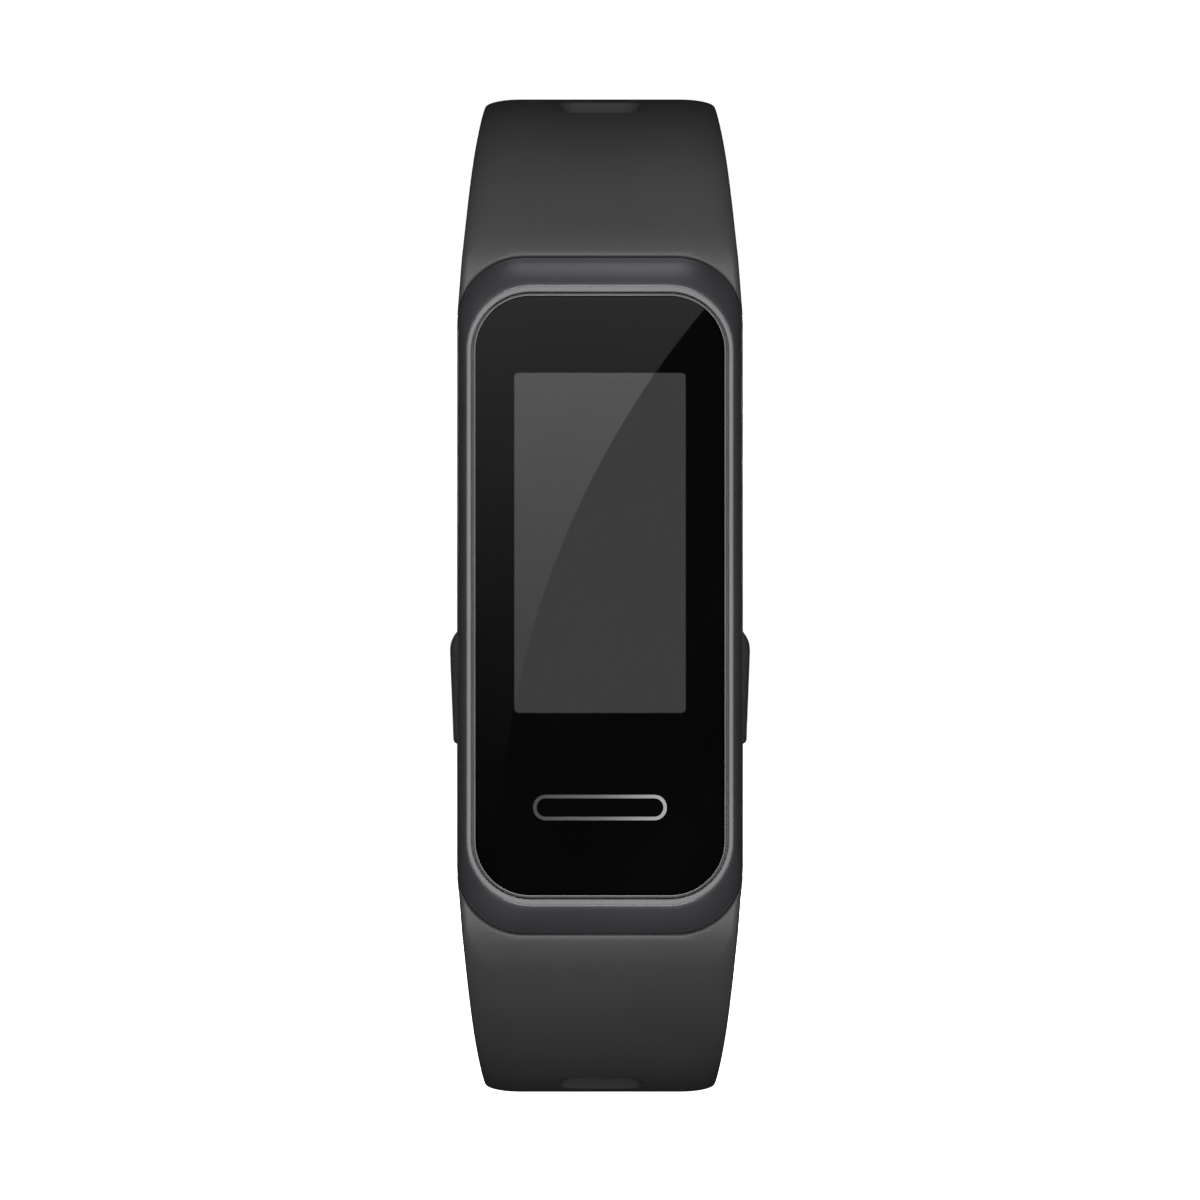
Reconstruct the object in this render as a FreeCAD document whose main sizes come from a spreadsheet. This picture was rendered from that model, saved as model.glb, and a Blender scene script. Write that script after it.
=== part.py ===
"""Fitness tracker band, closed on an upright wrist opening.

X runs across the strap, Y is depth (the display faces -Y) and +Z points to the display's
top edge.  The origin is the middle of the wrist opening.  Every sub-part is drawn in the
tracker frame, whose origin is the middle of the glass face: there the depth grows
backwards, towards the wrist, and Placement.Base.y moves the drawing into the object's frame.
"""
import FreeCAD, Part
import math
import os
import Sketcher
from FreeCAD import Placement, Rotation, Vector

doc = FreeCAD.newDocument("FitnessTrackerBand")

# ---------------------------------------------------------------- driving dimensions, mm
DIMENSIONS = {
    "tracker_thickness": (12.5, "glass face to the sensor window"),
    "opening_depth": (40.0, "sensor window to the clasp's inner face"),
    "housing_width": (18.5, "across the wrist"),
    "housing_length": (43.75, "without the plug"),
    "housing_corner": (4.8, "outline corner radius"),
    "rim_width": (17.3, "front rim outline"),
    "rim_length": (40.1, "front rim outline"),
    "rim_corner": (4.25, "front rim corner radius"),
    "rim_depth": (0.35, "front rim behind the glass face"),
    "waist_depth": (1.7, "where the bevel meets the side wall"),
    "back_edge_depth": (9.3, "where the back edge starts to round"),
    "back_edge_inset": (0.6, "how far the back edge comes in"),
    "cover_depth": (10.2, "housing meets rear cover"),
    "cover_thickness": (1.0, "rear cover plate"),
    "cavity_width": (15.7, "inside the side walls"),
    "cavity_length": (38.4, "inside the end walls"),
    "cavity_corner": (3.2, "cavity corner radius"),
    "cavity_depth": (2.0, "front wall's inner face"),
    "ledge_depth": (1.0, "ledge that carries the glass"),
    "window_width": (15.0, "opening behind the glass"),
    "window_length": (37.6, "opening behind the glass"),
    "window_corner": (3.0, "opening corner radius"),
    "glass_width": (16.4, "cover glass"),
    "glass_length": (39.0, "cover glass"),
    "glass_corner": (3.7, "cover glass corner radius"),
    "glass_thickness": (0.85, "cover glass"),
    "ring_width": (17.2, "bezel ring outline"),
    "ring_length": (40.0, "bezel ring outline"),
    "ring_corner": (4.2, "bezel ring corner radius"),
    "ring_section": (0.33, "bezel ring seen from the front"),
    "ring_front": (0.05, "ring face behind the glass face"),
    "active_width": (11.1, "display's active area"),
    "active_length": (22.0, "display's active area"),
    "active_rise": (3.4, "active area above the tracker's middle"),
    "key_width": (8.65, "touch key outline"),
    "key_height": (1.65, "touch key outline"),
    "key_stroke": (0.23, "line of the touch key outline"),
    "key_drop": (13.7, "touch key below the tracker's middle"),
    "board_width": (14.8, "main board"),
    "board_length": (36.0, "main board"),
    "board_thickness": (0.7, "main board"),
    "board_depth": (4.6, "main board's front face"),
    "cell_width": (13.2, "battery cell"),
    "cell_length": (21.0, "battery cell"),
    "cell_thickness": (3.1, "battery cell"),
    "motor_radius": (1.5, "vibration motor can"),
    "motor_length": (6.5, "vibration motor can"),
    "sensor_radius": (4.55, "heart-rate window"),
    "plug_tilt": (34.0, "plug axis, degrees behind straight down"),
    "plug_depth": (7.5, "plug axis at the housing's end"),
    "plug_width": (12.0, "plug tongue"),
    "plug_thickness": (1.8, "plug tongue"),
    "plug_reach": (8.6, "plug tongue beyond the housing"),
    "loop_half_height": (33.0, "wrist opening's middle to the strap's outermost line"),
    "loop_turn_depth": (19.0, "depth of the strap's outermost line"),
    "strap_root_half_width": (8.95, "at the housing's end"),
    "strap_tip_half_width": (9.22, "at the tips that wrap the housing's corners"),
    "strap_tip_rise": (18.8, "tips above and below the middle"),
    "strap_clearance": (0.1, "strap to housing"),
    "strap_half_width": (7.6, "from the outermost line to the clasp"),
    "strap_root_thickness": (9.6, "at the housing"),
    "strap_turn_thickness": (3.0, "at the outermost line"),
    "strap_thickness": (1.9, "lower strap at the pin"),
    "tail_thickness": (1.5, "upper strap from the clasp on"),
    "layer_gap": (0.15, "between the two straps at the clasp"),
    "shoulder_radius": (60.0, "strap behind its outermost line"),
    "lower_bend_radius": (20.0, "lower strap's back bend, outside"),
    "upper_bend_radius": (22.0, "upper strap's back bend, outside"),
    "slot_length": (3.65, "adjustment slot along the strap"),
    "slot_width": (5.2, "adjustment slot across the strap"),
    "slot_pitch": (6.5, "adjustment slots"),
    "recess_width": (5.2, "blind recess in front of the strap's outermost line"),
    "recess_length": (3.0, "blind recess along the strap"),
    "recess_back": (3.8, "outermost line to the blind recess, along the strap"),
    "recess_depth": (1.2, "blind recess"),
    "pin_drop": (9.0, "buckle pin below the middle"),
    "pin_radius": (0.55, "buckle pin"),
    "pin_play": (0.05, "running fit round the pin"),
    "frame_half_width": (10.6, "buckle frame outside"),
    "frame_opening": (8.05, "half the buckle frame's opening"),
    "frame_reach": (8.2, "pin to the front bar's outer edge"),
    "frame_bar": (1.7, "front bar along the strap"),
    "frame_thickness": (1.5, "buckle frame section"),
    "frame_slope": (31.0, "buckle frame's lean off the strap, degrees"),
    "tongue_width": (4.4, "buckle tongue"),
    "tongue_thickness": (0.8, "buckle tongue"),
    "barrel_radius": (0.95, "tongue barrel round the pin"),
    "keeper_wall": (0.9, "strap keeper"),
    "keeper_half_width": (8.7, "strap keeper outside"),
}

sheet = doc.addObject("Spreadsheet::Sheet", "sizes")
for row, (alias, (value, note)) in enumerate(DIMENSIONS.items(), start=1):
    sheet.set(f"A{row}", note)
    sheet.set(f"B{row}", str(value))
    sheet.setAlias(f"B{row}", alias)
doc.recompute()


def size(alias):
    """A driving dimension's value, read back from the sheet."""
    return float(sheet.get(alias))


glass_y = -size("tracker_thickness") - size("opening_depth") / 2
GLASS_Y = "-sizes.tracker_thickness - sizes.opening_depth / 2"
exports = []


# ---------------------------------------------------------------- drawing helpers
def place(part, *, rotation=None, depth=0.0, rise=0.0):
    """Move a piece drawn in the tracker frame into the object's frame and list it."""
    turn = rotation or Rotation()
    part.Placement = Placement(Vector(0, glass_y + depth, rise), turn)
    part.setExpression("Placement.Base.y", f"{GLASS_Y} + {depth}")
    exports.append(part)


def new_body(name, **where):
    body = doc.addObject("PartDesign::Body", name)
    body.Label = name
    place(body, **where)
    return body


def new_sketch(body, role, offset=None):
    """A sketch on one of the body's own origin planes, shifted by an expression."""
    sketch = body.newObject("Sketcher::SketchObject", f"{body.Name}_outline")
    plane = next(f for f in body.Origin.OriginFeatures if f.Role == role)
    sketch.AttachmentSupport = [(plane, "")]
    sketch.MapMode = "FlatFace"
    if offset:
        sketch.setExpression("AttachmentOffset.Base.z", offset)
    return sketch


def bind(sketch, constraint, expression):
    index = sketch.addConstraint(constraint)
    sketch.setExpression(f"Constraints[{index}]", expression)


def rounded_rectangle(sketch, width, length, corner, rise="0"):
    """Rounded rectangle whose sides are bound to expressions; rise shifts it along Z."""
    half_x, half_z, radius = 6.0, 9.0, 1.0
    quarter = math.pi / 2
    first = sketch.GeometryCount
    corners = [(half_x, half_z, 0), (-half_x, half_z, 1), (-half_x, -half_z, 2), (half_x, -half_z, 3)]
    for x, z, turn in corners:
        centre = Vector(x - math.copysign(radius, x), z - math.copysign(radius, z), 0)
        circle = Part.Circle(centre, Vector(0, 0, 1), radius)
        sketch.addGeometry(Part.ArcOfCircle(circle, turn * quarter, (turn + 1) * quarter), False)
    arcs = range(first, first + 4)
    sides = []
    for arc, following in zip(arcs, [first + 1, first + 2, first + 3, first]):
        start = sketch.getPoint(arc, 2)
        end = sketch.getPoint(following, 1)
        sides.append(sketch.addGeometry(Part.LineSegment(start, end), False))
        sketch.addConstraint(Sketcher.Constraint("Tangent", arc, 2, sides[-1], 1))
        sketch.addConstraint(Sketcher.Constraint("Tangent", sides[-1], 2, following, 1))
    top, left, bottom, right = sides
    for arc in list(arcs)[1:]:
        sketch.addConstraint(Sketcher.Constraint("Equal", first, arc))
    for level in (top, bottom):
        sketch.addConstraint(Sketcher.Constraint("Horizontal", level))
    for upright in (left, right):
        sketch.addConstraint(Sketcher.Constraint("Vertical", upright))
    bind(sketch, Sketcher.Constraint("Radius", first, radius), corner)
    bind(sketch, Sketcher.Constraint("DistanceX", -1, 1, right, 1, half_x), f"({width}) / 2")
    bind(sketch, Sketcher.Constraint("DistanceX", left, 1, -1, 1, half_x), f"({width}) / 2")
    bind(sketch, Sketcher.Constraint("DistanceY", -1, 1, top, 1, half_z), f"({length}) / 2 + ({rise})")
    bind(sketch, Sketcher.Constraint("DistanceY", bottom, 1, -1, 1, half_z), f"({length}) / 2 - ({rise})")


def circle(sketch, radius, x=0.0, rise=0.0):
    ring = sketch.addGeometry(Part.Circle(Vector(x, rise, 0), Vector(0, 0, 1), 1.0), False)
    bind(sketch, Sketcher.Constraint("Radius", ring, 1.0), radius)
    if x:
        sketch.addConstraint(Sketcher.Constraint("DistanceX", -1, 1, ring, 3, x))
    else:
        sketch.addConstraint(Sketcher.Constraint("PointOnObject", ring, 3, -2))
    if rise:
        sketch.addConstraint(Sketcher.Constraint("DistanceY", -1, 1, ring, 3, rise))
    else:
        sketch.addConstraint(Sketcher.Constraint("PointOnObject", ring, 3, -1))


def outline(sketch, edges):
    """Draw worked-out lines and arcs; each edge is two points, or three for an arc."""
    for edge in edges:
        points = [Vector(a, b, 0) for a, b in edge]
        curve = Part.LineSegment(*points) if len(points) == 2 else Part.Arc(*points)
        index = sketch.addGeometry(curve, False)
        sketch.addConstraint(Sketcher.Constraint("Block", index))


def polygon(points):
    return list(zip(points, points[1:] + points[:1]))


def feature(body, kind, sketch, *, length=None, reverse=False, symmetric=False, through=False):
    """Pad or Pocket a sketch; a cut that removes nothing is an error."""
    doc.recompute()
    before = 0.0 if body.Shape.isNull() else body.Shape.Volume
    step = body.newObject(f"PartDesign::{kind}", f"{body.Name}_{kind.lower()}")
    step.Profile = sketch
    if through:
        step.Type = "ThroughAll"
    if length:
        step.setExpression("Length", length)
    step.Reversed = reverse
    if symmetric:
        step.SideType = "Symmetric"
    sketch.Visibility = False
    doc.recompute()
    if kind == "Pocket" and body.Shape.Volume > before - 1e-6:
        raise RuntimeError(f"{body.Name}: a pocket cuts nothing")
    return step


def loft(body, first, second):
    step = body.newObject("PartDesign::AdditiveLoft", f"{body.Name}_loft")
    step.Profile = first
    step.Sections = [second]
    step.Ruled = True
    doc.recompute()


def edges_of(shape, test):
    """Names of the edges whose bounding box passes a test."""
    return [f"Edge{i}" for i, edge in enumerate(shape.Edges, start=1) if test(edge.BoundBox)]


def fillet(body, radius, test, kind="Fillet"):
    """Round or chamfer the edges that pass a test."""
    doc.recompute()
    tip = body.Tip
    step = body.newObject(f"PartDesign::{kind}", f"{body.Name}_{kind.lower()}")
    step.Base = (tip, edges_of(tip.Shape, test))
    setattr(step, "Radius" if kind == "Fillet" else "Size", radius)
    doc.recompute()


def front_sketch(body, depth):
    """Sketch facing the display's way, at a depth given by an expression."""
    return new_sketch(body, "XZ_Plane", f"-({depth})")


def plate(name, width, length, corner, depth, thickness, rise="0"):
    """A rounded rectangular plate; every size is an expression."""
    body = new_body(name)
    sketch = front_sketch(body, depth)
    rounded_rectangle(sketch, width, length, corner, rise)
    feature(body, "Pad", sketch, length=thickness, reverse=True)
    return body


def pocket_plate(body, width, length, corner, depth, cut, rise="0"):
    """Cut a rounded rectangle backwards from a depth."""
    sketch = front_sketch(body, depth)
    rounded_rectangle(sketch, width, length, corner, rise)
    feature(body, "Pocket", sketch, length=cut)


def side_body(name, edges, width, **where):
    """A side-view outline, thickened evenly about the middle plane."""
    body = new_body(name, **where)
    sketch = new_sketch(body, "YZ_Plane")
    outline(sketch, edges)
    feature(body, "Pad", sketch, length=width, symmetric=True)
    return body


def side_pocket(body, edges, width):
    sketch = new_sketch(body, "YZ_Plane")
    outline(sketch, edges)
    feature(body, "Pocket", sketch, length=width, symmetric=True)


def group(name, solids):
    """Identical or wired small pieces kept together as separate solids of one node."""
    part = doc.addObject("Part::Feature", name)
    part.Label = name
    part.Shape = Part.makeCompound(solids)
    place(part)


def block(width, thickness, length, x, depth, rise):
    """A box given by its middle across, its front depth and its middle height."""
    corner = Vector(x - width / 2, depth, rise - length / 2)
    return Part.makeBox(width, thickness, length, corner)


def rod(radius, length, x, depth, rise, axis):
    return Part.makeCylinder(radius, length, Vector(x, depth, rise), axis)


# ---------------------------------------------------------------- worked-out geometry
tilt = math.radians(size("plug_tilt"))


def along_plug(side, along, across):
    """A point of the plug's own axes: along it outwards, and across it towards the wrist.

    side is -1 at the plug and 1 at the upper end, which is built the same way.
    """
    depth = size("plug_depth") + along * math.sin(tilt) + across * math.cos(tilt)
    rise = size("housing_length") / 2 + along * math.cos(tilt) - across * math.sin(tilt)
    return depth, side * rise


def plug_section(side, start, end, inner, outer):
    """Side view of a bar lying along the plug's axis."""
    corners = [(start, inner), (end, inner), (end, outer), (start, outer)]
    return polygon([along_plug(side, along, across) for along, across in corners])


def polar(centre, radius, angle):
    return centre[0] + radius * math.cos(angle), centre[1] + radius * math.sin(angle)


def arc(centre, radius, start, end):
    return polar(centre, radius, start), polar(centre, radius, (start + end) / 2), polar(centre, radius, end)


def rise_radius(drop, reach):
    """Radius of the arc that turns square-on at its far end."""
    return (drop**2 + reach**2) / (2 * drop)


class StrapRun:
    """Side view of one strap, from the housing to the straight stretch at the clasp."""

    def __init__(self, inner_depth, thickness, bend):
        turn_depth = size("loop_turn_depth")
        top = size("loop_half_height")
        inner_top = top - size("strap_turn_thickness")
        root_rise = size("housing_length") / 2
        tip_rise = size("strap_tip_rise")
        root_depth = size("waist_depth")
        inner_root = root_depth + size("strap_root_thickness")
        shoulder = size("shoulder_radius")
        self.bend = bend
        self.outer_depth = inner_depth + thickness
        self.inner_depth = inner_depth
        sine = (self.outer_depth - turn_depth - bend) / (shoulder - bend)
        self.turn = math.asin(sine)
        cosine = math.cos(self.turn)
        self.straight_rise = top - shoulder + (shoulder - bend) * cosine
        reach = inner_depth - turn_depth
        drop = inner_top - self.straight_rise
        determinant = sine * cosine - (1 - sine) * (1 - cosine)
        inner_shoulder = (reach * cosine - drop * (1 - sine)) / determinant
        self.inner_bend = (drop * sine - reach * (1 - cosine)) / determinant
        outer_front = rise_radius(top - root_rise, turn_depth - root_depth)
        inner_front = rise_radius(inner_top - root_rise, turn_depth - inner_root)
        self.front_centre = (turn_depth, top - outer_front)
        self.front_radius = outer_front
        self.bend_centre = (self.outer_depth - bend, self.straight_rise)
        square = math.pi / 2
        root_angle = math.pi - math.asin((root_rise - self.front_centre[1]) / outer_front)
        inner_centre = (turn_depth, inner_top - inner_front)
        inner_angle = math.pi - math.asin((root_rise - inner_centre[1]) / inner_front)
        bend_angle = square - self.turn
        self.outer = [
            arc(self.front_centre, outer_front, root_angle, square),
            arc((turn_depth, top - shoulder), shoulder, square, bend_angle),
            arc(self.bend_centre, bend, bend_angle, 0),
        ]
        self.inner = [
            arc((inner_depth - self.inner_bend, self.straight_rise), self.inner_bend, 0, bend_angle),
            arc((turn_depth, inner_top - inner_shoulder), inner_shoulder, bend_angle, square),
            arc(inner_centre, inner_front, square, inner_angle),
        ]
        self.root = polygon([(inner_root, root_rise), (inner_root, tip_rise), (root_depth, tip_rise),
                             (root_depth, root_rise)])[:3]


wrist_face = size("tracker_thickness") + size("opening_depth")
tail_inner = wrist_face + size("strap_thickness") + size("layer_gap")
lower_run = StrapRun(wrist_face, size("strap_thickness"), size("lower_bend_radius"))
upper_run = StrapRun(tail_inner, size("tail_thickness"), size("upper_bend_radius"))
pin_depth = wrist_face + size("strap_thickness") / 2
pin_rise = -size("pin_drop")
bend_centre = (lower_run.bend_centre[0], -lower_run.bend_centre[1])
tail_inner_radius = lower_run.bend + size("layer_gap")
tail_outer_radius = tail_inner_radius + size("tail_thickness")
tail_angle = math.pi / 2 - lower_run.turn


def mirrored(edges):
    """The same side view below the middle."""
    return [tuple((depth, -rise) for depth, rise in edge) for edge in edges]


def taper_strap(body, side):
    """Narrow a strap from the housing to its outermost line, and behind it."""
    tip = (size("strap_tip_half_width"), size("strap_tip_rise"))
    wide = size("strap_root_half_width")
    narrow = size("strap_half_width")
    outside = size("housing_width")
    root = size("housing_length") / 2
    top = size("loop_half_height")
    front = new_sketch(body, "XZ_Plane", "-sizes.loop_turn_depth")
    back = new_sketch(body, "XZ_Plane", "-sizes.loop_turn_depth")
    for hand in (-1, 1):
        sloping = [tip, (wide, root), (narrow, top), (narrow, top + 5), (outside, top + 5), (outside, tip[1])]
        straight = [(narrow, -top - 5), (outside, -top - 5), (outside, top + 5), (narrow, top + 5)]
        outline(front, polygon([(hand * x, side * rise) for x, rise in sloping]))
        outline(back, polygon([(hand * x, rise) for x, rise in straight]))
    feature(body, "Pocket", front, through=True, reverse=True)
    feature(body, "Pocket", back, through=True)
    gap = "2 * sizes.strap_clearance"
    pocket_plate(body, f"sizes.housing_width + {gap}", f"sizes.housing_length + {gap}",
                 "sizes.housing_corner + sizes.strap_clearance", "0", "sizes.tracker_thickness")


# ---------------------------------------------------------------- housing and glass
def make_housing():
    body = new_body("housing_shell")
    rim = front_sketch(body, "sizes.rim_depth")
    rounded_rectangle(rim, "sizes.rim_width", "sizes.rim_length", "sizes.rim_corner")
    waist = front_sketch(body, "sizes.waist_depth")
    rounded_rectangle(waist, "sizes.housing_width", "sizes.housing_length", "sizes.housing_corner")
    doc.recompute()
    loft(body, rim, waist)
    wall = front_sketch(body, "sizes.waist_depth")
    rounded_rectangle(wall, "sizes.housing_width", "sizes.housing_length", "sizes.housing_corner")
    feature(body, "Pad", wall, length="sizes.back_edge_depth - sizes.waist_depth", reverse=True)
    edge = front_sketch(body, "sizes.back_edge_depth")
    rounded_rectangle(edge, "sizes.housing_width", "sizes.housing_length", "sizes.housing_corner")
    back = front_sketch(body, "sizes.cover_depth")
    inset = "2 * sizes.back_edge_inset"
    corner = "sizes.housing_corner - sizes.back_edge_inset"
    rounded_rectangle(back, f"sizes.housing_width - {inset}", f"sizes.housing_length - {inset}", corner)
    doc.recompute()
    loft(body, edge, back)
    pocket_plate(body, "sizes.glass_width + 0.1", "sizes.glass_length + 0.1", "sizes.glass_corner + 0.05",
                 "sizes.rim_depth", "sizes.ledge_depth - sizes.rim_depth")
    pocket_plate(body, "sizes.window_width", "sizes.window_length", "sizes.window_corner",
                 "sizes.ledge_depth", "sizes.cavity_depth - sizes.ledge_depth")
    pocket_plate(body, "sizes.cavity_width", "sizes.cavity_length", "sizes.cavity_corner",
                 "sizes.cavity_depth", "sizes.cover_depth - sizes.cavity_depth")
    half_plug = size("plug_thickness") / 2
    side_pocket(body, plug_section(-1, -5, 2, -half_plug, half_plug), "sizes.plug_width")
    side_pocket(body, plug_section(-1, -2.6, 2, -half_plug - 0.6, half_plug + 0.6), "sizes.plug_width + 1.2")
    side_pocket(body, plug_section(1, -2.3, 2, -1.05, 1.05), "sizes.plug_width + 0.1")


def make_ring():
    body = plate("bezel_ring", "sizes.ring_width", "sizes.ring_length", "sizes.ring_corner",
                 "sizes.ring_front", "sizes.rim_depth - sizes.ring_front")
    section = "2 * sizes.ring_section"
    pocket_plate(body, f"sizes.ring_width - {section}", f"sizes.ring_length - {section}",
                 "sizes.ring_corner - sizes.ring_section",
                 "sizes.ring_front", "sizes.rim_depth - sizes.ring_front")
    front = size("ring_front")
    fillet(body, 0.08, lambda box: box.YMax < front + 0.01, "Chamfer")


def make_glass():
    body = plate("cover_glass", "sizes.glass_width", "sizes.glass_length", "sizes.glass_corner",
                 "0", "sizes.glass_thickness")
    fillet(body, 0.25, lambda box: box.YMax < 0.01)
    mask = plate("glass_mask_print", "sizes.glass_width - 0.2", "sizes.glass_length - 0.2",
                 "sizes.glass_corner - 0.1", "sizes.glass_thickness", "0.05")
    pocket_plate(mask, "sizes.active_width", "sizes.active_length", "0.3",
                 "sizes.glass_thickness", "0.05", "sizes.active_rise")
    key = ("sizes.key_width", "sizes.key_height", "sizes.key_height / 2 - 0.01")
    pocket_plate(mask, *key, "sizes.glass_thickness", "0.05", "-sizes.key_drop")
    mark = plate("touch_key_outline", *key, "sizes.glass_thickness", "0.05", "-sizes.key_drop")
    stroke = "2 * sizes.key_stroke"
    pocket_plate(mark, f"sizes.key_width - {stroke}", f"sizes.key_height - {stroke}",
                 "sizes.key_height / 2 - sizes.key_stroke - 0.01", "sizes.glass_thickness", "0.05",
                 "-sizes.key_drop")
    seal = plate("glass_adhesive", "sizes.glass_width", "sizes.glass_length", "sizes.glass_corner",
                 "sizes.glass_thickness + 0.05", "sizes.ledge_depth - sizes.glass_thickness - 0.05")
    pocket_plate(seal, "sizes.window_width + 0.1", "sizes.window_length + 0.1", "sizes.window_corner",
                 "sizes.glass_thickness + 0.05", "0.1")
    plate("touch_sensor_film", "sizes.window_width - 0.2", "sizes.window_length - 0.2", "2.9",
          "sizes.glass_thickness + 0.05", "0.15")


# ---------------------------------------------------------------- display stack
def make_display():
    rise = "sizes.active_rise - 1"
    plate("display_panel", "sizes.active_width + 1.9", "sizes.active_length + 3.6", "0.4",
          "1.05", "0.8", rise)
    plate("display_backlight", "sizes.active_width + 1.8", "sizes.active_length + 3.5", "0.4",
          "1.85", "0.7", rise)
    tray = plate("display_frame", "sizes.active_width + 2.9", "sizes.active_length + 4.8", "0.8",
                 "1.25", "1.6", rise)
    pocket_plate(tray, "sizes.active_width + 2", "sizes.active_length + 3.7", "0.45",
                 "1.25", "1.3", rise)
    panel_end = size("active_rise") - 1 - (size("active_length") + 3.6) / 2
    fold = panel_end - 1.2
    ribbon = [(1.08, panel_end), (1.08, fold), (4.18, fold), (4.18, fold - 1.5), (4.3, fold - 1.5),
              (4.3, fold + 0.12), (1.2, fold + 0.12), (1.2, panel_end)]
    side_body("display_flex_cable", polygon(ribbon), "6")


# ---------------------------------------------------------------- boards and cell
def make_inner_frame():
    body = plate("inner_frame", "sizes.cavity_width - 0.3", "sizes.cavity_length - 0.4",
                 "sizes.cavity_corner - 0.15", "2.95", "0.6")
    pocket_plate(body, "8", "4", "0.5", "2.95", "0.6", "-12")
    bosses = front_sketch(body, "3.55")
    for x in (-6, 6):
        for rise in (-16.2, 16.2):
            circle(bosses, "1.1", x, rise)
    feature(body, "Pad", bosses, length="sizes.board_depth - 3.55", reverse=True)
    holes = front_sketch(body, "3.55")
    for x in (-6, 6):
        for rise in (-16.2, 16.2):
            circle(holes, "0.4", x, rise)
    feature(body, "Pocket", holes, length="sizes.board_depth - 3.55")


def make_boards():
    board = plate("main_board", "sizes.board_width", "sizes.board_length", "2.6",
                  "sizes.board_depth", "sizes.board_thickness")
    holes = front_sketch(board, "sizes.board_depth")
    for x in (-6, 6):
        for rise in (-16.2, 16.2):
            circle(holes, "0.4", x, rise)
    feature(board, "Pocket", holes, length="sizes.board_thickness")
    front = size("board_depth")
    back = front + size("board_thickness")
    group("board_chips", [
        block(5.0, 0.8, 5.0, -2.0, front - 0.8, 8.0),
        block(2.6, 0.6, 3.0, 3.4, front - 0.6, 8.6),
        block(2.0, 0.7, 2.0, 3.2, front - 0.7, 4.4),
        block(3.0, 0.8, 2.5, -3.0, front - 0.8, 1.0),
        block(6.4, 0.3, 1.7, 0.0, front - 0.3, -12.6),
        block(2.4, 0.7, 2.4, 2.8, front - 0.7, -4.0),
    ])
    can = plate("rf_shield_can", "11", "7", "0.6", f"{back}", "1.0", "8.2")
    pocket_plate(can, "10.6", "6.6", "0.4", f"{back}", "0.8", "8.2")
    screws = []
    for x in (-6, 6):
        for rise in (-16.2, 16.2):
            shank = rod(0.4, 1.6, x, back - 1.6, rise, Vector(0, 1, 0))
            head = rod(0.95, 0.5, x, back, rise, Vector(0, 1, 0))
            screws.append(shank.fuse(head).removeSplitter())
    group("board_screws", screws)
    side = size("cavity_width") / 2
    group("antenna_flex", [block(0.15, 2.8, 20.0, side - 0.15, 5.8, 2.0)])


def make_battery():
    plate("battery_cell", "sizes.cell_width", "sizes.cell_length", "0.9",
          "6", "sizes.cell_thickness", "-7.5")
    fillet(exports[-1], 0.6, lambda box: box.YLength < 0.01)
    top = -7.5 + size("cell_length") / 2
    group("battery_protection_board", [block(9.0, 1.6, 0.6, 0.0, 6.6, top + 0.3)])
    back = size("board_depth") + size("board_thickness")
    leads = [rod(0.25, 6.6 - back, x, back, top + 0.3, Vector(0, 1, 0)) for x in (-3.0, -1.8)]
    group("battery_leads", leads)


def make_motor():
    """Bar motor across the body: can, shaft and the half-round weight that it spins."""
    radius = size("motor_radius")
    depth = 8.3
    rise = 14.2
    can_end = 1.2
    across = Vector(1, 0, 0)
    can = rod(radius, size("motor_length"), can_end - size("motor_length"), depth, rise, across)
    bore = rod(0.34, 3.0, can_end - 3.0, depth, rise, across)
    group("vibration_motor_can", [can.cut(bore)])
    shaft = rod(0.3, 6.4, can_end - 2.8, depth, rise, across)
    group("motor_shaft", [shaft])
    weight = rod(1.3, 3.0, can_end + 0.4, depth, rise, across)
    upper_half = Part.makeBox(4.0, 3.0, 1.5, Vector(can_end, depth - 1.5, rise + 0.35))
    hole = rod(0.3, 4.0, can_end, depth, rise, across)
    group("motor_weight", [weight.cut(upper_half).cut(hole)])


# ---------------------------------------------------------------- rear cover and sensor
def make_rear_cover():
    inset = "2 * sizes.back_edge_inset"
    corner = "sizes.housing_corner - sizes.back_edge_inset"
    body = plate("rear_cover", f"sizes.housing_width - {inset}", f"sizes.housing_length - {inset}", corner,
                 "sizes.cover_depth", "sizes.cover_thickness")
    lip = front_sketch(body, "sizes.cover_depth - 0.9")
    rounded_rectangle(lip, "sizes.cavity_width - 0.1", "sizes.cavity_length - 0.1", "sizes.cavity_corner")
    feature(body, "Pad", lip, length="0.9", reverse=True)
    pocket_plate(body, "sizes.cavity_width - 1.9", "sizes.cavity_length - 1.9", "sizes.cavity_corner - 0.9",
                 "sizes.cover_depth - 0.9", "0.9")
    boss = front_sketch(body, "sizes.cover_depth + sizes.cover_thickness")
    circle(boss, "sizes.sensor_radius + 1.1")
    feature(body, "Pad", boss, length="0.8", reverse=True)
    hole = front_sketch(body, "sizes.cover_depth")
    circle(hole, "sizes.sensor_radius")
    feature(body, "Pocket", hole, length="3")
    last = size("cover_depth") + size("cover_thickness")
    reach = size("housing_width") / 2 - size("back_edge_inset") - 0.01
    fillet(body, 0.7, lambda box: box.YMin > last - 0.01 and box.YMax < last + 0.01 and box.XMax > reach - 5
           and (box.XLength > 3.7 or box.ZLength > 3.7) and (abs(box.XMax) > 6 or abs(box.ZMax) > 15))


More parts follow.
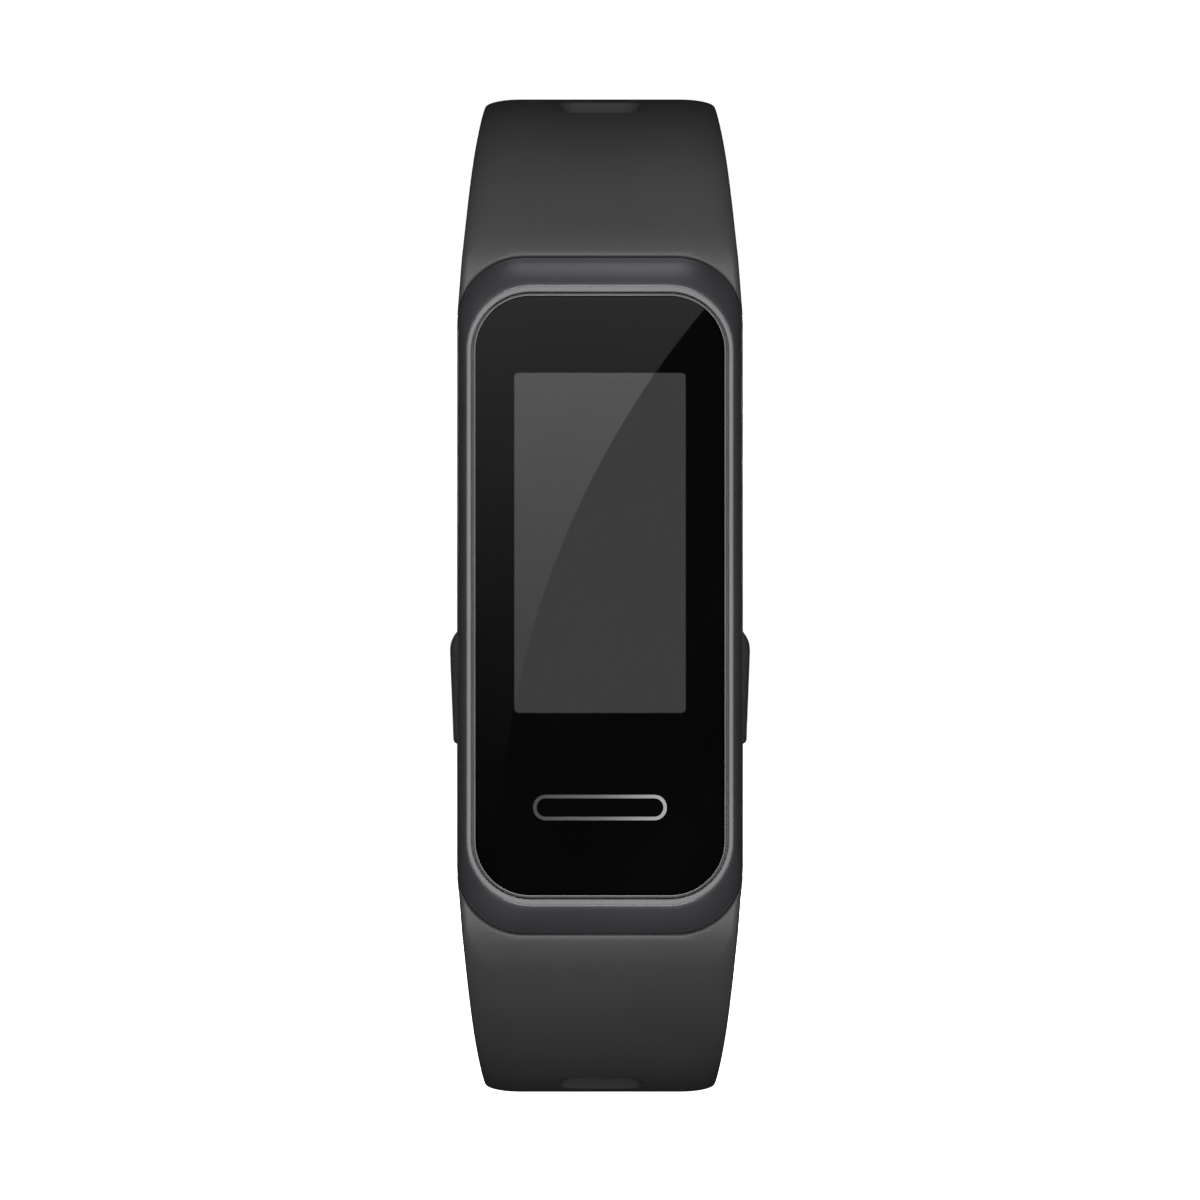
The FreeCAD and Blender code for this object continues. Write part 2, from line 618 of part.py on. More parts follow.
def make_sensor():
    last = size("cover_depth") + size("cover_thickness")
    window = new_body("sensor_window")
    face = front_sketch(window, f"{last - 0.3}")
    circle(face, "sizes.sensor_radius")
    feature(window, "Pad", face, length=f"sizes.tracker_thickness - {last - 0.3}", reverse=True)
    end = size("tracker_thickness")
    fillet(window, 0.45, lambda box: box.YMin > end - 0.01)
    plate("sensor_board", "12", "13", "1", "9.3", "0.6")
    baffle = new_body("sensor_light_baffle")
    disc = front_sketch(baffle, "9.9")
    circle(disc, "sizes.sensor_radius - 0.05")
    feature(baffle, "Pad", disc, length=f"{last - 0.3} - 9.9", reverse=True)
    wells = front_sketch(baffle, "9.9")
    circle(wells, "0.95", 0, 2.9)
    circle(wells, "0.95", 0, -2.9)
    circle(wells, "1.6")
    feature(baffle, "Pocket", wells, length="2")
    group("sensor_leds", [block(1.0, 0.5, 1.2, 0.0, 9.9, rise) for rise in (-2.9, 2.9)])
    group("sensor_photodiode", [block(2.0, 0.5, 2.0, 0.0, 9.9, 0.0)])


# ---------------------------------------------------------------- plug, connectors, latches
def make_plug():
    half = size("plug_thickness") / 2
    side_body("usb_plug_tongue", plug_section(-1, -4.2, size("plug_reach"), -half, half), "sizes.plug_width")
    seal_outline = plug_section(-1, -2.6, -1.75, -half - 0.6, half + 0.6)
    seal = side_body("usb_plug_seal", seal_outline, "sizes.plug_width + 1.2")
    side_pocket(seal, plug_section(-1, -3, 2, -half, half), "sizes.plug_width")
    pad = []
    for x, reach in ((-3.5, 7.4), (-1.0, 6.4), (1.0, 6.4), (3.5, 7.4)):
        corners = [(1.0, -half - 0.06), (1.0 + reach, -half - 0.06), (1.0 + reach, -half), (1.0, -half)]
        points = [Vector(x - 0.5, *along_plug(-1, a, b)) for a, b in corners]
        face = Part.Face(Part.makePolygon(points + points[:1]))
        pad.append(face.extrude(Vector(1.0, 0, 0)))
    group("usb_contacts", pad)


SLEEVE_HALF = 1.3
SLEEVE_FROM = 1.0
BUTTON_FROM = 3.4
BUTTON_TO = 6.0


def make_insert(side, name):
    """Hard insert moulded into a strap's root; at the plug it is a sleeve for it."""
    reach = size("plug_reach") + 0.45
    if side < 0:
        outline_points = plug_section(side, SLEEVE_FROM, reach, -SLEEVE_HALF, SLEEVE_HALF)
        body = side_body(name, outline_points, "sizes.plug_width + 1")
        hollow = plug_section(side, 0, size("plug_reach") + 0.1, -1.0, 1.0)
        side_pocket(body, hollow, "sizes.plug_width + 0.2")
    else:
        outline_points = plug_section(side, SLEEVE_FROM, 7.0, -SLEEVE_HALF, SLEEVE_HALF)
        body = side_body(name, outline_points, "sizes.plug_width + 1")
        tab = new_sketch(body, "YZ_Plane")
        outline(tab, plug_section(side, -2.2, SLEEVE_FROM, -1.0, 1.0))
        feature(body, "Pad", tab, length="sizes.plug_width", symmetric=True)


def make_latch(side, word):
    """Release button on the wrist side of a strap's root, over its return spring."""
    section = plug_section(side, BUTTON_FROM + 0.1, BUTTON_TO - 0.1, SLEEVE_HALF + 0.75, SLEEVE_HALF + 1.65)
    side_body(f"{word}_release_button", section, "5.8")
    low, mid, high = SLEEVE_HALF, SLEEVE_HALF + 0.6, SLEEVE_HALF + 0.75
    strip = [(BUTTON_FROM + 0.2, low), (BUTTON_FROM + 0.5, low), (BUTTON_FROM + 1.1, mid),
             (BUTTON_TO - 1.1, mid), (BUTTON_TO - 0.5, low), (BUTTON_TO - 0.2, low),
             (BUTTON_TO - 1.0, high), (BUTTON_FROM + 1.0, high)]
    points = [along_plug(side, along, across) for along, across in strip]
    side_body(f"{word}_latch_spring", polygon(points), "3")


# ---------------------------------------------------------------- straps
def strap_pockets(body, side, insert_end):
    """Room in a strap's root for the insert, the release button and its spring."""
    side_pocket(body, plug_section(side, -3, insert_end, -SLEEVE_HALF, SLEEVE_HALF), "sizes.plug_width + 1")
    side_pocket(body, plug_section(side, BUTTON_FROM, BUTTON_TO, SLEEVE_HALF - 0.2, SLEEVE_HALF + 5), "6")


def radial_cut(centre, inner, outer, start, end):
    """Side view of a cut between two angles round a bend."""
    return polygon([polar(centre, inner, start), polar(centre, outer, start),
                    polar(centre, outer, end), polar(centre, inner, end)])


def recess_outline(run, side):
    start = math.pi / 2 + size("recess_back") / run.front_radius
    end = start + size("recess_length") / run.front_radius
    inner = run.front_radius - size("recess_depth")
    edges = radial_cut(run.front_centre, inner, run.front_radius + 1, start, end)
    return edges if side > 0 else mirrored(edges)


def make_lower_strap():
    run = lower_run
    straight = -run.straight_rise
    end = pin_rise + size("barrel_radius")
    outer_end = (run.outer_depth, end)
    inner_end = (run.inner_depth, end)
    edges = mirrored(run.outer) + mirrored(run.inner) + mirrored(run.root) + [
        ((run.outer_depth, straight), outer_end),
        (outer_end, inner_end),
        (inner_end, (run.inner_depth, straight)),
    ]
    body = side_body("lower_strap", edges, "sizes.housing_width")
    taper_strap(body, -1)
    strap_pockets(body, -1, size("plug_reach") + 0.45)
    side_pocket(body, recess_outline(run, -1), "sizes.recess_width")
    notch_end = pin_rise - size("barrel_radius") - 0.35
    notch = [(run.inner_depth - 1, end + 1), (run.outer_depth + 1, end + 1), (run.outer_depth + 1, notch_end),
             (run.inner_depth - 1, notch_end)]
    side_pocket(body, polygon(notch), "sizes.tongue_width + 0.4")
    bore = new_sketch(body, "YZ_Plane")
    circle(bore, "sizes.pin_radius", pin_depth, pin_rise)
    feature(body, "Pocket", bore, length="sizes.housing_width", symmetric=True)


def slot_edges():
    """Side view of every adjustment slot, along the straight and round both bends."""
    half = size("slot_length") / 2
    pitch = size("slot_pitch")
    middle = pin_rise + 1.53
    inner = tail_inner - 0.5
    outer = tail_inner + size("tail_thickness") + 0.5
    mid = tail_inner + size("tail_thickness") / 2
    cuts = []
    lower_straight = -lower_run.straight_rise
    for step in range(-3, 5):
        rise = middle + step * pitch
        if lower_straight + half < rise < upper_run.straight_rise - half:
            low, high = rise - half, rise + half
            cuts += polygon([(inner, low), (outer, low), (outer, high), (inner, high)])
            continue
        centre = bend_centre if step < 0 else upper_run.bend_centre
        radius = mid - centre[0]
        angle = (rise - centre[1]) / radius
        reach = half / radius
        cuts += radial_cut(centre, inner - centre[0], outer - centre[0], angle - reach, angle + reach)
    return cuts


def make_upper_strap():
    run = upper_run
    tail_turn = -lower_run.straight_rise
    tip = -tail_angle
    outer_tail = arc(bend_centre, tail_outer_radius, 0, tip)
    inner_tail = arc(bend_centre, tail_inner_radius, tip, 0)
    edges = run.outer + run.inner + run.root + [
        ((run.outer_depth, run.straight_rise), (run.outer_depth, tail_turn)),
        outer_tail,
        (outer_tail[-1], inner_tail[0]),
        inner_tail,
        ((run.inner_depth, tail_turn), (run.inner_depth, run.straight_rise)),
    ]
    body = side_body("upper_strap", edges, "sizes.housing_width")
    taper_strap(body, 1)
    strap_pockets(body, 1, 7.0)
    side_pocket(body, recess_outline(run, 1), "sizes.recess_width")
    side_pocket(body, slot_edges(), "sizes.slot_width")


# ---------------------------------------------------------------- clasp
def make_clasp():
    pin = doc.addObject("Part::Cylinder", "buckle_pin")
    pin.Label = "buckle_pin"
    pin.setExpression("Radius", "sizes.pin_radius")
    pin.setExpression("Height", "2 * sizes.frame_half_width - 0.8")
    pin.Placement = Placement(Vector(-size("frame_half_width") + 0.4, glass_y + pin_depth, pin_rise),
                              Rotation(Vector(0, 1, 0), 90))
    exports.append(pin)

    slope = Rotation(Vector(1, 0, 0), -size("frame_slope"))
    frame = new_body("buckle_frame", rotation=slope, depth=pin_depth, rise=pin_rise)
    wide, narrow = size("frame_half_width"), size("frame_half_width") - 0.3
    opening, reach = size("frame_opening"), size("frame_reach")
    inside = reach - size("frame_bar")
    heel = -1.15
    corner, inner_corner = 2.2, 0.9
    quarter = math.pi / 2
    sketch = new_sketch(frame, "XZ_Plane")
    edges = [
        ((wide, reach - corner), (narrow, heel)),
        ((narrow, heel), (opening, heel)),
        ((opening, heel), (opening, inside - inner_corner)),
        arc((opening - inner_corner, inside - inner_corner), inner_corner, 0, quarter),
        ((opening - inner_corner, inside), (-opening + inner_corner, inside)),
        arc((-opening + inner_corner, inside - inner_corner), inner_corner, quarter, 2 * quarter),
        ((-opening, inside - inner_corner), (-opening, heel)),
        ((-opening, heel), (-narrow, heel)),
        ((-narrow, heel), (-wide, reach - corner)),
        arc((-wide + corner, reach - corner), corner, 2 * quarter, quarter),
        ((-wide + corner, reach), (wide - corner, reach)),
        arc((wide - corner, reach - corner), corner, quarter, 0),
    ]
    outline(sketch, edges)
    feature(frame, "Pad", sketch, length="sizes.frame_thickness", symmetric=True)
    fillet(frame, 0.4, lambda box: box.YLength < 0.01 and (box.ZMax > 0 or abs(box.XMin) > opening + 0.1))
    bore = new_sketch(frame, "YZ_Plane")
    circle(bore, "sizes.pin_radius + sizes.pin_play")
    feature(frame, "Pocket", bore, length="2 * sizes.frame_half_width - 0.8", symmetric=True)

    tongue = new_body("buckle_tongue", depth=pin_depth, rise=pin_rise)
    barrel = new_sketch(tongue, "YZ_Plane")
    circle(barrel, "sizes.barrel_radius")
    feature(tongue, "Pad", barrel, length="sizes.tongue_width", symmetric=True)
    half = size("tongue_thickness") / 2
    diagonal = half * math.sqrt(2)
    level = 5.15
    tip = 7.2
    start = 0.55
    blade = [(start + diagonal / 2, start - diagonal / 2), (level + half, level + half - diagonal),
             (level + half, tip), (level - half, tip), (level - half, level - half + diagonal),
             (start - diagonal / 2, start + diagonal / 2)]
    sketch = new_sketch(tongue, "YZ_Plane")
    outline(sketch, polygon(blade))
    feature(tongue, "Pad", sketch, length="sizes.tongue_width", symmetric=True)
    bore = new_sketch(tongue, "YZ_Plane")
    circle(bore, "sizes.pin_radius + sizes.pin_play")
    feature(tongue, "Pocket", bore, length="sizes.tongue_width + 1", symmetric=True)


def make_keeper():
    start, end = math.radians(-10), math.radians(-24)
    inner = lower_run.bend - size("strap_thickness") - 0.4
    outer = tail_outer_radius + 0.15
    wall = size("keeper_wall")

    def sector(low, high, first, last):
        return [
            arc(bend_centre, high, first, last),
            (polar(bend_centre, high, last), polar(bend_centre, low, last)),
            arc(bend_centre, low, last, first),
            (polar(bend_centre, low, first), polar(bend_centre, high, first)),
        ]

    hoop = sector(inner - wall, outer + wall, start, end)
    body = side_body("strap_keeper", hoop, "2 * sizes.keeper_half_width")
    side_pocket(body, sector(inner, outer, start + 0.1, end - 0.1), "2 * sizes.strap_half_width + 0.4")


make_housing()
make_ring()
make_glass()
make_display()
make_inner_frame()
make_boards()
make_battery()
make_motor()
make_rear_cover()
make_sensor()
make_plug()
make_insert(-1, "lower_strap_sleeve")
make_insert(1, "upper_strap_insert")
make_latch(-1, "lower")
make_latch(1, "upper")
make_lower_strap()
make_upper_strap()
make_clasp()
make_keeper()
doc.recompute()

# ---------------------------------------------------------------- checks and export
for item in doc.Objects:
    if "Invalid" in item.State or "Error" in item.State:
        raise RuntimeError(f"{item.Name} failed: {item.State}")
os.makedirs("parts", exist_ok=True)
for item in exports:
    if item.Shape.isNull() or not item.Shape.isValid():
        raise RuntimeError(f"{item.Label} has a bad shape")
    item.Shape.exportStep(f"parts/{item.Label}.step")
    box = item.Shape.BoundBox
    print(f"{item.Label:26s} {len(item.Shape.Solids)} solids {item.Shape.Volume:9.2f} mm3 "
          f"x {box.XMin:.2f} {box.XMax:.2f} y {box.YMin:.2f} {box.YMax:.2f} z {box.ZMin:.2f} {box.ZMax:.2f}")
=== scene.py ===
import math

import bmesh
import bpy
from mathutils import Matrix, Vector


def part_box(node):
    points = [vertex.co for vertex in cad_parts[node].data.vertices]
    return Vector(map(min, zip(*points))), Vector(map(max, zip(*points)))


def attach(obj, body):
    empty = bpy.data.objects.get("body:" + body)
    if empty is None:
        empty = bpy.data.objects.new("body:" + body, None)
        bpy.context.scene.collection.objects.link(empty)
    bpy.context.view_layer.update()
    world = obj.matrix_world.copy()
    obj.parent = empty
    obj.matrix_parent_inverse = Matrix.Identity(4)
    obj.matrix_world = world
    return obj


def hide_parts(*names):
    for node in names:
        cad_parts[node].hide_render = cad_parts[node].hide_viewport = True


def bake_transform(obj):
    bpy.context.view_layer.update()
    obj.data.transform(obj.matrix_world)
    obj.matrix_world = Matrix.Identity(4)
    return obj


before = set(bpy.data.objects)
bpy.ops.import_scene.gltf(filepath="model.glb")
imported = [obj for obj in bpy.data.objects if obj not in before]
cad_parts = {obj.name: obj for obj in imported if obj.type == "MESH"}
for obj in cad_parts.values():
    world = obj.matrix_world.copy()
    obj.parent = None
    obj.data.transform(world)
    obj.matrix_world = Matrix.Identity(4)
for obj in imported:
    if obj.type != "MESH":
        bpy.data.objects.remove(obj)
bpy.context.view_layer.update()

MM = 0.001
SQUARE = math.pi / 2
# A face with this many corners is a flat cap.
CAP_CORNERS = 30

# ---------------------------------------------------------------- sizes, mm, in the tracker frame
# Depth grows backwards from the glass face and rise is height, as in the CAD model.
GLASS_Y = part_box("cover_glass")[0][1] / MM
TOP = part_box("upper_strap")[1][2] / MM
HOUSING_LENGTH = 2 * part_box("housing_shell")[1][2] / MM
HOUSING_WIDTH = 2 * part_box("housing_shell")[1][0] / MM
HOUSING_CORNER = 4.35
# Outlines of the tracker's front, each as width, length and corner radius: the bevel's front
# edge, the rim round the glass, the pocket for the glass, the glass and the touch film.
BEVEL = (17.3, 40.1, 4.25)
RING = (17.2, 40.0, 4.2)
POCKET = (16.62, 39.2, 3.85)
GLASS = (16.4, 39.0, 3.7)
FILM = (14.8, 37.4, 3.0)
RING_DEPTH = 0.35
POCKET_DEPTH = 1.0
CAVITY_DEPTH = 2.0
GLASS_BACK = 0.83
FILM_DEPTHS = (0.92, 1.03)
KEY_DEPTHS = (0.86, 0.9)
KEY_RISE = -13.7
KEY_WIDTH = 8.65
KEY_HEIGHT = 1.65
KEY_LINE = 0.22
WAIST_DEPTH = 1.7
BACK_DEPTH = 10.2
TURN_DEPTH = 19.0
TIP_RISE = 18.0
TURN_START = 19.9
TURN_END = 23.9
TIP_HALF_WIDTH = 9.25
ROOT_HALF_WIDTH = 8.95
STRAP_HALF_WIDTH = 7.6
ROOT_THICKNESS = 9.6
TURN_THICKNESS = 3.0
LOWER_THICKNESS = 1.9
TAIL_THICKNESS = 1.5
LAYER_GAP = 0.15
SHOULDER_RADIUS = 60.0
LOWER_BEND = 20.0
UPPER_BEND = 22.0
WRIST_FACE = 52.5
TAIL_INNER = WRIST_FACE + LOWER_THICKNESS + LAYER_GAP
PIN_DEPTH = WRIST_FACE + LOWER_THICKNESS / 2
PIN_RISE = -9.0
BARREL_RADIUS = 0.95
SLOT_LENGTH = 3.65
SLOT_WIDTH = 5.2
SLOT_PITCH = 6.5
SLOT_MIDDLE = PIN_RISE + 1.53
SLOT_CORNER = 1.2
PLUG_TILT = math.radians(34)
PLUG_DEPTH = 7.5
BUTTON_ALONG = 4.7
ACROSS = Vector((1, 0, 0))


def place(depth, rise, x=0.0):
    """A point of the tracker frame, in metres in the object's frame."""
    return Vector((x, depth + GLASS_Y, rise)) * MM


# ---------------------------------------------------------------- mesh helpers
def new_object(name, mesh):
    item = bpy.data.objects.new(name, mesh)
    bpy.context.scene.collection.objects.link(item)
    return item


def mesh_from(name, points, faces):
    mesh = bpy.data.meshes.new(name)
    mesh.from_pydata(points, [], faces)
    mesh.validate()
    work = bmesh.new()
    work.from_mesh(mesh)
    bmesh.ops.remove_doubles(work, verts=work.verts, dist=1e-7)
    bmesh.ops.recalc_face_normals(work, faces=work.faces)
    work.to_mesh(mesh)
    work.free()
    return mesh


def skin(name, rings, closed=False):
    """Join rings of the same number of points; the first and last are capped unless closed."""
    count = len(rings[0])
    points = [point for ring in rings for point in ring]
    faces = []
    spans = len(rings) if closed else len(rings) - 1
    for ring in range(spans):
        following = (ring + 1) % len(rings)
        for step in range(count):
            other = (step + 1) % count
            faces.append((ring * count + step, ring * count + other,
                          following * count + other, following * count + step))
    if not closed:
        faces.append(tuple(range(count)))
        faces.append(tuple(range((len(rings) - 1) * count, len(rings) * count)))
    return new_object(name, mesh_from(name, points, faces))


def smooth(item, degrees=35):
    item.data.set_sharp_from_angle(angle=math.radians(degrees))
    for face in item.data.polygons:
        face.use_smooth = len(face.vertices) < CAP_CORNERS


def settle(item):
    """Apply the modifiers of a piece to its mesh."""
    graph = bpy.context.evaluated_depsgraph_get()
    mesh = bpy.data.meshes.new_from_object(item.evaluated_get(graph))
    item.modifiers.clear()
    item.data = mesh


def carve(item, cutters):
    """Subtract cutters from a piece and remove them."""
    for cutter in cutters:
        step = item.modifiers.new("carve", "BOOLEAN")
        step.operation = "DIFFERENCE"
        step.solver = "MANIFOLD"
        step.object = cutter
        settle(item)
        bpy.data.objects.remove(cutter)


def rounded_outline(half_x, half_z, corner, steps=10):
    """Points round a rounded rectangle, anticlockwise."""
    points = []
    for turn, (x, z) in enumerate(((1, 1), (-1, 1), (-1, -1), (1, -1))):
        for step in range(steps + 1):
            angle = (turn + step / steps) * SQUARE
            points.append((x * (half_x - corner) + corner * math.cos(angle),
                           z * (half_z - corner) + corner * math.sin(angle)))
    return points


# ---------------------------------------------------------------- strap side view
def arc(centre, radius, start, end, steps):
    return [(centre[0] + radius * math.cos(start + (end - start) * step / steps),
             centre[1] + radius * math.sin(start + (end - start) * step / steps))
            for step in range(steps + 1)]


def line(start, end, steps):
    run = end[0] - start[0]
    climb = end[1] - start[1]
    return [(start[0] + run * step / steps, start[1] + climb * step / steps)
            for step in range(steps + 1)]


def front_depth(rise):
    """Depth of the strap's outer face near the housing, where it turns gently off the waist."""
    rise = abs(rise)
    drop = TOP - HOUSING_LENGTH / 2
    reach = TURN_DEPTH - WAIST_DEPTH
    radius = (drop**2 + reach**2) / (2 * drop)
    if rise <= TURN_START:
        return WAIST_DEPTH
    far = min(max(rise, TURN_END), TOP)
    on_arc = TURN_DEPTH - math.sqrt(radius**2 - (far - TOP + radius) ** 2)
    if rise >= TURN_END:
        return on_arc
    share = (rise - TURN_START) / (TURN_END - TURN_START)
    return WAIST_DEPTH + (on_arc - WAIST_DEPTH) * share**2


class StrapRun:
    """Outer and inner line of a strap, from its root to the straight stretch at the clasp."""

    def __init__(self, inner_depth, thickness, bend):
        inner_top = TOP - TURN_THICKNESS
        root_rise = HOUSING_LENGTH / 2
        inner_root = WAIST_DEPTH + ROOT_THICKNESS
        self.inner_depth = inner_depth
        self.outer_depth = inner_depth + thickness
        sine = (self.outer_depth - TURN_DEPTH - bend) / (SHOULDER_RADIUS - bend)
        cosine = math.sqrt(1 - sine**2)
        turn = math.asin(sine)
        self.turn = turn
        self.straight_rise = TOP - SHOULDER_RADIUS + (SHOULDER_RADIUS - bend) * cosine
        reach = inner_depth - TURN_DEPTH
        drop = inner_top - self.straight_rise
        spread = sine * cosine - (1 - sine) * (1 - cosine)
        inner_shoulder = (reach * cosine - drop * (1 - sine)) / spread
        inner_bend = (drop * sine - reach * (1 - cosine)) / spread
        front = [(front_depth(rise) if rise < TURN_END else depth, rise)
                 for depth, rise in self.square_arc(TOP, root_rise, WAIST_DEPTH)]
        inner_front = self.square_arc(inner_top, root_rise, inner_root)
        self.bend_centre = (self.outer_depth - bend, self.straight_rise)
        angle = SQUARE - turn
        self.outer = [(front_depth(rise), rise) for depth, rise in
                      line((0, TIP_RISE), (0, root_rise), 12)[:-1]] + front[:-1]
        shoulder_centre = (TURN_DEPTH, TOP - SHOULDER_RADIUS)
        self.outer += arc(shoulder_centre, SHOULDER_RADIUS, SQUARE, angle, 14)[:-1]
        self.outer += arc(self.bend_centre, bend, angle, 0, 30)
        inner_centre = (TURN_DEPTH, inner_top - inner_shoulder)
        self.inner = line((inner_root, TIP_RISE), (inner_root, root_rise), 12)[:-1]
        self.inner += inner_front[:-1]
        self.inner += arc(inner_centre, inner_shoulder, SQUARE, angle, 14)[:-1]
        self.inner += arc((inner_depth - inner_bend, self.straight_rise), inner_bend, angle, 0, 30)

    @staticmethod
    def square_arc(top, start_rise, start_depth):
        """The arc from the housing that runs straight back at its end."""
        drop = top - start_rise
        reach = TURN_DEPTH - start_depth
        radius = (drop**2 + reach**2) / (2 * drop)
        centre = (TURN_DEPTH, top - radius)
        start = math.pi - math.asin((start_rise - centre[1]) / radius)
        return arc(centre, radius, start, SQUARE, 40)


lower_run = StrapRun(WRIST_FACE, LOWER_THICKNESS, LOWER_BEND)
upper_run = StrapRun(TAIL_INNER, TAIL_THICKNESS, UPPER_BEND)
TAIL_CENTRE = (lower_run.bend_centre[0], -lower_run.straight_rise)
TAIL_ANGLE = SQUARE - lower_run.turn


def strap_half_width(depth, rise):
    """Half the strap's width where its outer line passes a depth and rise."""
    rise = abs(rise)
    if depth > TURN_DEPTH or rise >= TOP:
        return STRAP_HALF_WIDTH
    root = HOUSING_LENGTH / 2
    if rise < root:
        share = (rise - TIP_RISE) / (root - TIP_RISE)
        return TIP_HALF_WIDTH + (ROOT_HALF_WIDTH - TIP_HALF_WIDTH) * share
    share = (rise - root) / (TOP - root)
    fullness = 0.13 * math.sin(math.pi * share**1.3)
    return ROOT_HALF_WIDTH + (STRAP_HALF_WIDTH - ROOT_HALF_WIDTH) * share + fullness


def edge_ease(depth, rise):
    """How far in and how deep a strap's outer edge is rounded, where its outer line passes."""
    if depth > TURN_DEPTH:
        return 2.3, 0.55
    root = HOUSING_LENGTH / 2
    share = min(max((abs(rise) - root) / 4.0, 0.0), 1.0)
    return 0.5 + 1.8 * share, 0.3 + 0.25 * share


def strap_section(outer, inner, half_width, inner_round=0.5):
    """One ring of a strap: a flat section, its outer edges rounded as long ellipses."""
    ease_in, ease_down = edge_ease(*outer)
    outer = place(*outer)
    inner = place(*inner)
    thickness = (outer - inner).length / MM
    normal = (outer - inner).normalized()
    ease_in = min(ease_in, half_width * 0.9)
    ease_down = min(ease_down, thickness * 0.45)
    low_round = min(inner_round, thickness * 0.45, half_width * 0.9)
    flat = half_width - ease_in
    low = half_width - low_round
    points = []

    def add(x, height):
        points.append(inner + (ACROSS * x + normal * height) * MM)

    for step in range(9):
        add(flat * (1 - step / 4), thickness)
    for step in range(1, 13):
        angle = SQUARE * step / 12
        add(-flat - ease_in * math.sin(angle), thickness - ease_down * (1 - math.cos(angle)))
    for step in range(7):
        angle = SQUARE * step / 6
        add(-low - low_round * math.cos(angle), low_round * (1 - math.sin(angle)))
    for step in range(1, 8):
        add(low * (step / 4 - 1), 0)
    for step in range(7):
        angle = SQUARE * step / 6
        add(low + low_round * math.sin(angle), low_round * (1 - math.cos(angle)))
    for step in range(12):
        angle = SQUARE * step / 12
        add(flat + ease_in * math.cos(angle), thickness - ease_down * (1 - math.sin(angle)))
    return points


def housing_cutter(clearance=0.04, lip=0.26, last=math.radians(50)):
    """The housing's outline as a solid whose front flares, to round over the strap's edge."""
    half_x = HOUSING_WIDTH / 2 + clearance
    half_z = HOUSING_LENGTH / 2 + clearance
    corner = HOUSING_CORNER + clearance
    wall = rounded_outline(half_x, half_z, corner, 16)
    wide = rounded_outline(half_x + 1, half_z + 1, corner + 1, 16)
    steps = 8
    past_face = 1.5
    past_back = 13.0
    rings = [[] for _ in range(steps + 2)]
    for (x, z), (far_x, far_z) in zip(wall, wide):
        out_x, out_z = far_x - x, far_z - z
        near = z + out_z * lip
        slope = math.atan((front_depth(near + 0.1 * out_z) - front_depth(near)) / 0.1)
        start = z + out_z * lip * (math.sin(last) + math.sin(slope))
        centre_depth = front_depth(start) + lip * math.cos(slope)
        centre_away = lip * math.sin(last)
        section = [(centre_depth - (lip + past_face) * math.cos(slope),
                    centre_away + (lip + past_face) * math.sin(slope))]
        for step in range(steps):
            angle = slope + (-last - slope) * step / (steps - 1)
            section.append((centre_depth - lip * math.cos(angle),
                            centre_away + lip * math.sin(angle)))
        section.append((past_back, 0.0))
        for ring, (depth, away) in zip(rings, section):
            ring.append(place(depth, z + out_z * away, x + out_x * away))
    return skin("housing_cutter", rings)


def slot_cutter(middle, along, normal, length, width, corner, depth, ease=0.18):
    """A rounded slot through a strap, with eased edges on both faces.

    middle is the middle of the strap's thickness, depth half of the thickness.
    """
    rings = []
    levels = ((-depth - 1, ease + 0.6), (-depth, ease), (-depth + ease, 0), (depth - ease, 0),
              (depth, ease), (depth + 1, ease + 0.6))
    for level, grow in levels:
        outline = rounded_outline(width / 2 + grow, length / 2 + grow, corner + grow, 8)
        rings.append([middle + (ACROSS * x + along * z + normal * level) * MM for x, z in outline])
    return skin("slot_cutter", rings)


def on_bend(centre, radius, angle):
    """Place, direction along and outward normal of a point on a bend in the side view."""
    middle = place(centre[0] + radius * math.cos(angle), centre[1] + radius * math.sin(angle))
    normal = Vector((0, math.cos(angle), math.sin(angle)))
    along = Vector((0, -math.sin(angle), math.cos(angle)))
    return middle, along, normal


def recess_cutter(side, depth=1.2, length=3.0, width=5.2, back=3.8, corner=1.2, slant=1.5):
    """The blind oblong recess in front of the strap's outermost line."""
    drop = TOP - HOUSING_LENGTH / 2
    reach = TURN_DEPTH - WAIST_DEPTH
    radius = (drop**2 + reach**2) / (2 * drop)
    angle = SQUARE + (back + length / 2) / radius
    centre = (TURN_DEPTH, TOP - radius)
    middle, along, normal = on_bend(centre, radius, angle)
    flip = Vector((1, 1, side))
    rings = []
    for level, grow in ((-depth, -0.3), (-depth + 0.09, -0.09), (-depth + 0.3, 0), (-0.2, 0),
                        (-0.06, 0.06), (0.0, 0.2), (1.0, 1.2)):
        ring = []
        for x, z in rounded_outline(width / 2 + grow, length / 2 + grow, corner + grow, 10):
            scoop = slant * max(-level, 0.0) * (length / 2 - z) / length
            ring.append(middle + (ACROSS * x + along * (z + scoop) + normal * level) * MM)
        rings.append([point * flip for point in ring])
    return skin("recess_cutter", rings)


def button_room(side):
    """Pocket in a strap's root round the release button, open towards the wrist."""
    rings = []
    for across in (1.1, 6.3):
        outline = rounded_outline(3.0, 1.3, 0.9, 6)
        rings.append([plug_point(side, BUTTON_ALONG + along, across, x) for x, along in outline])
    return skin("button_room", rings)


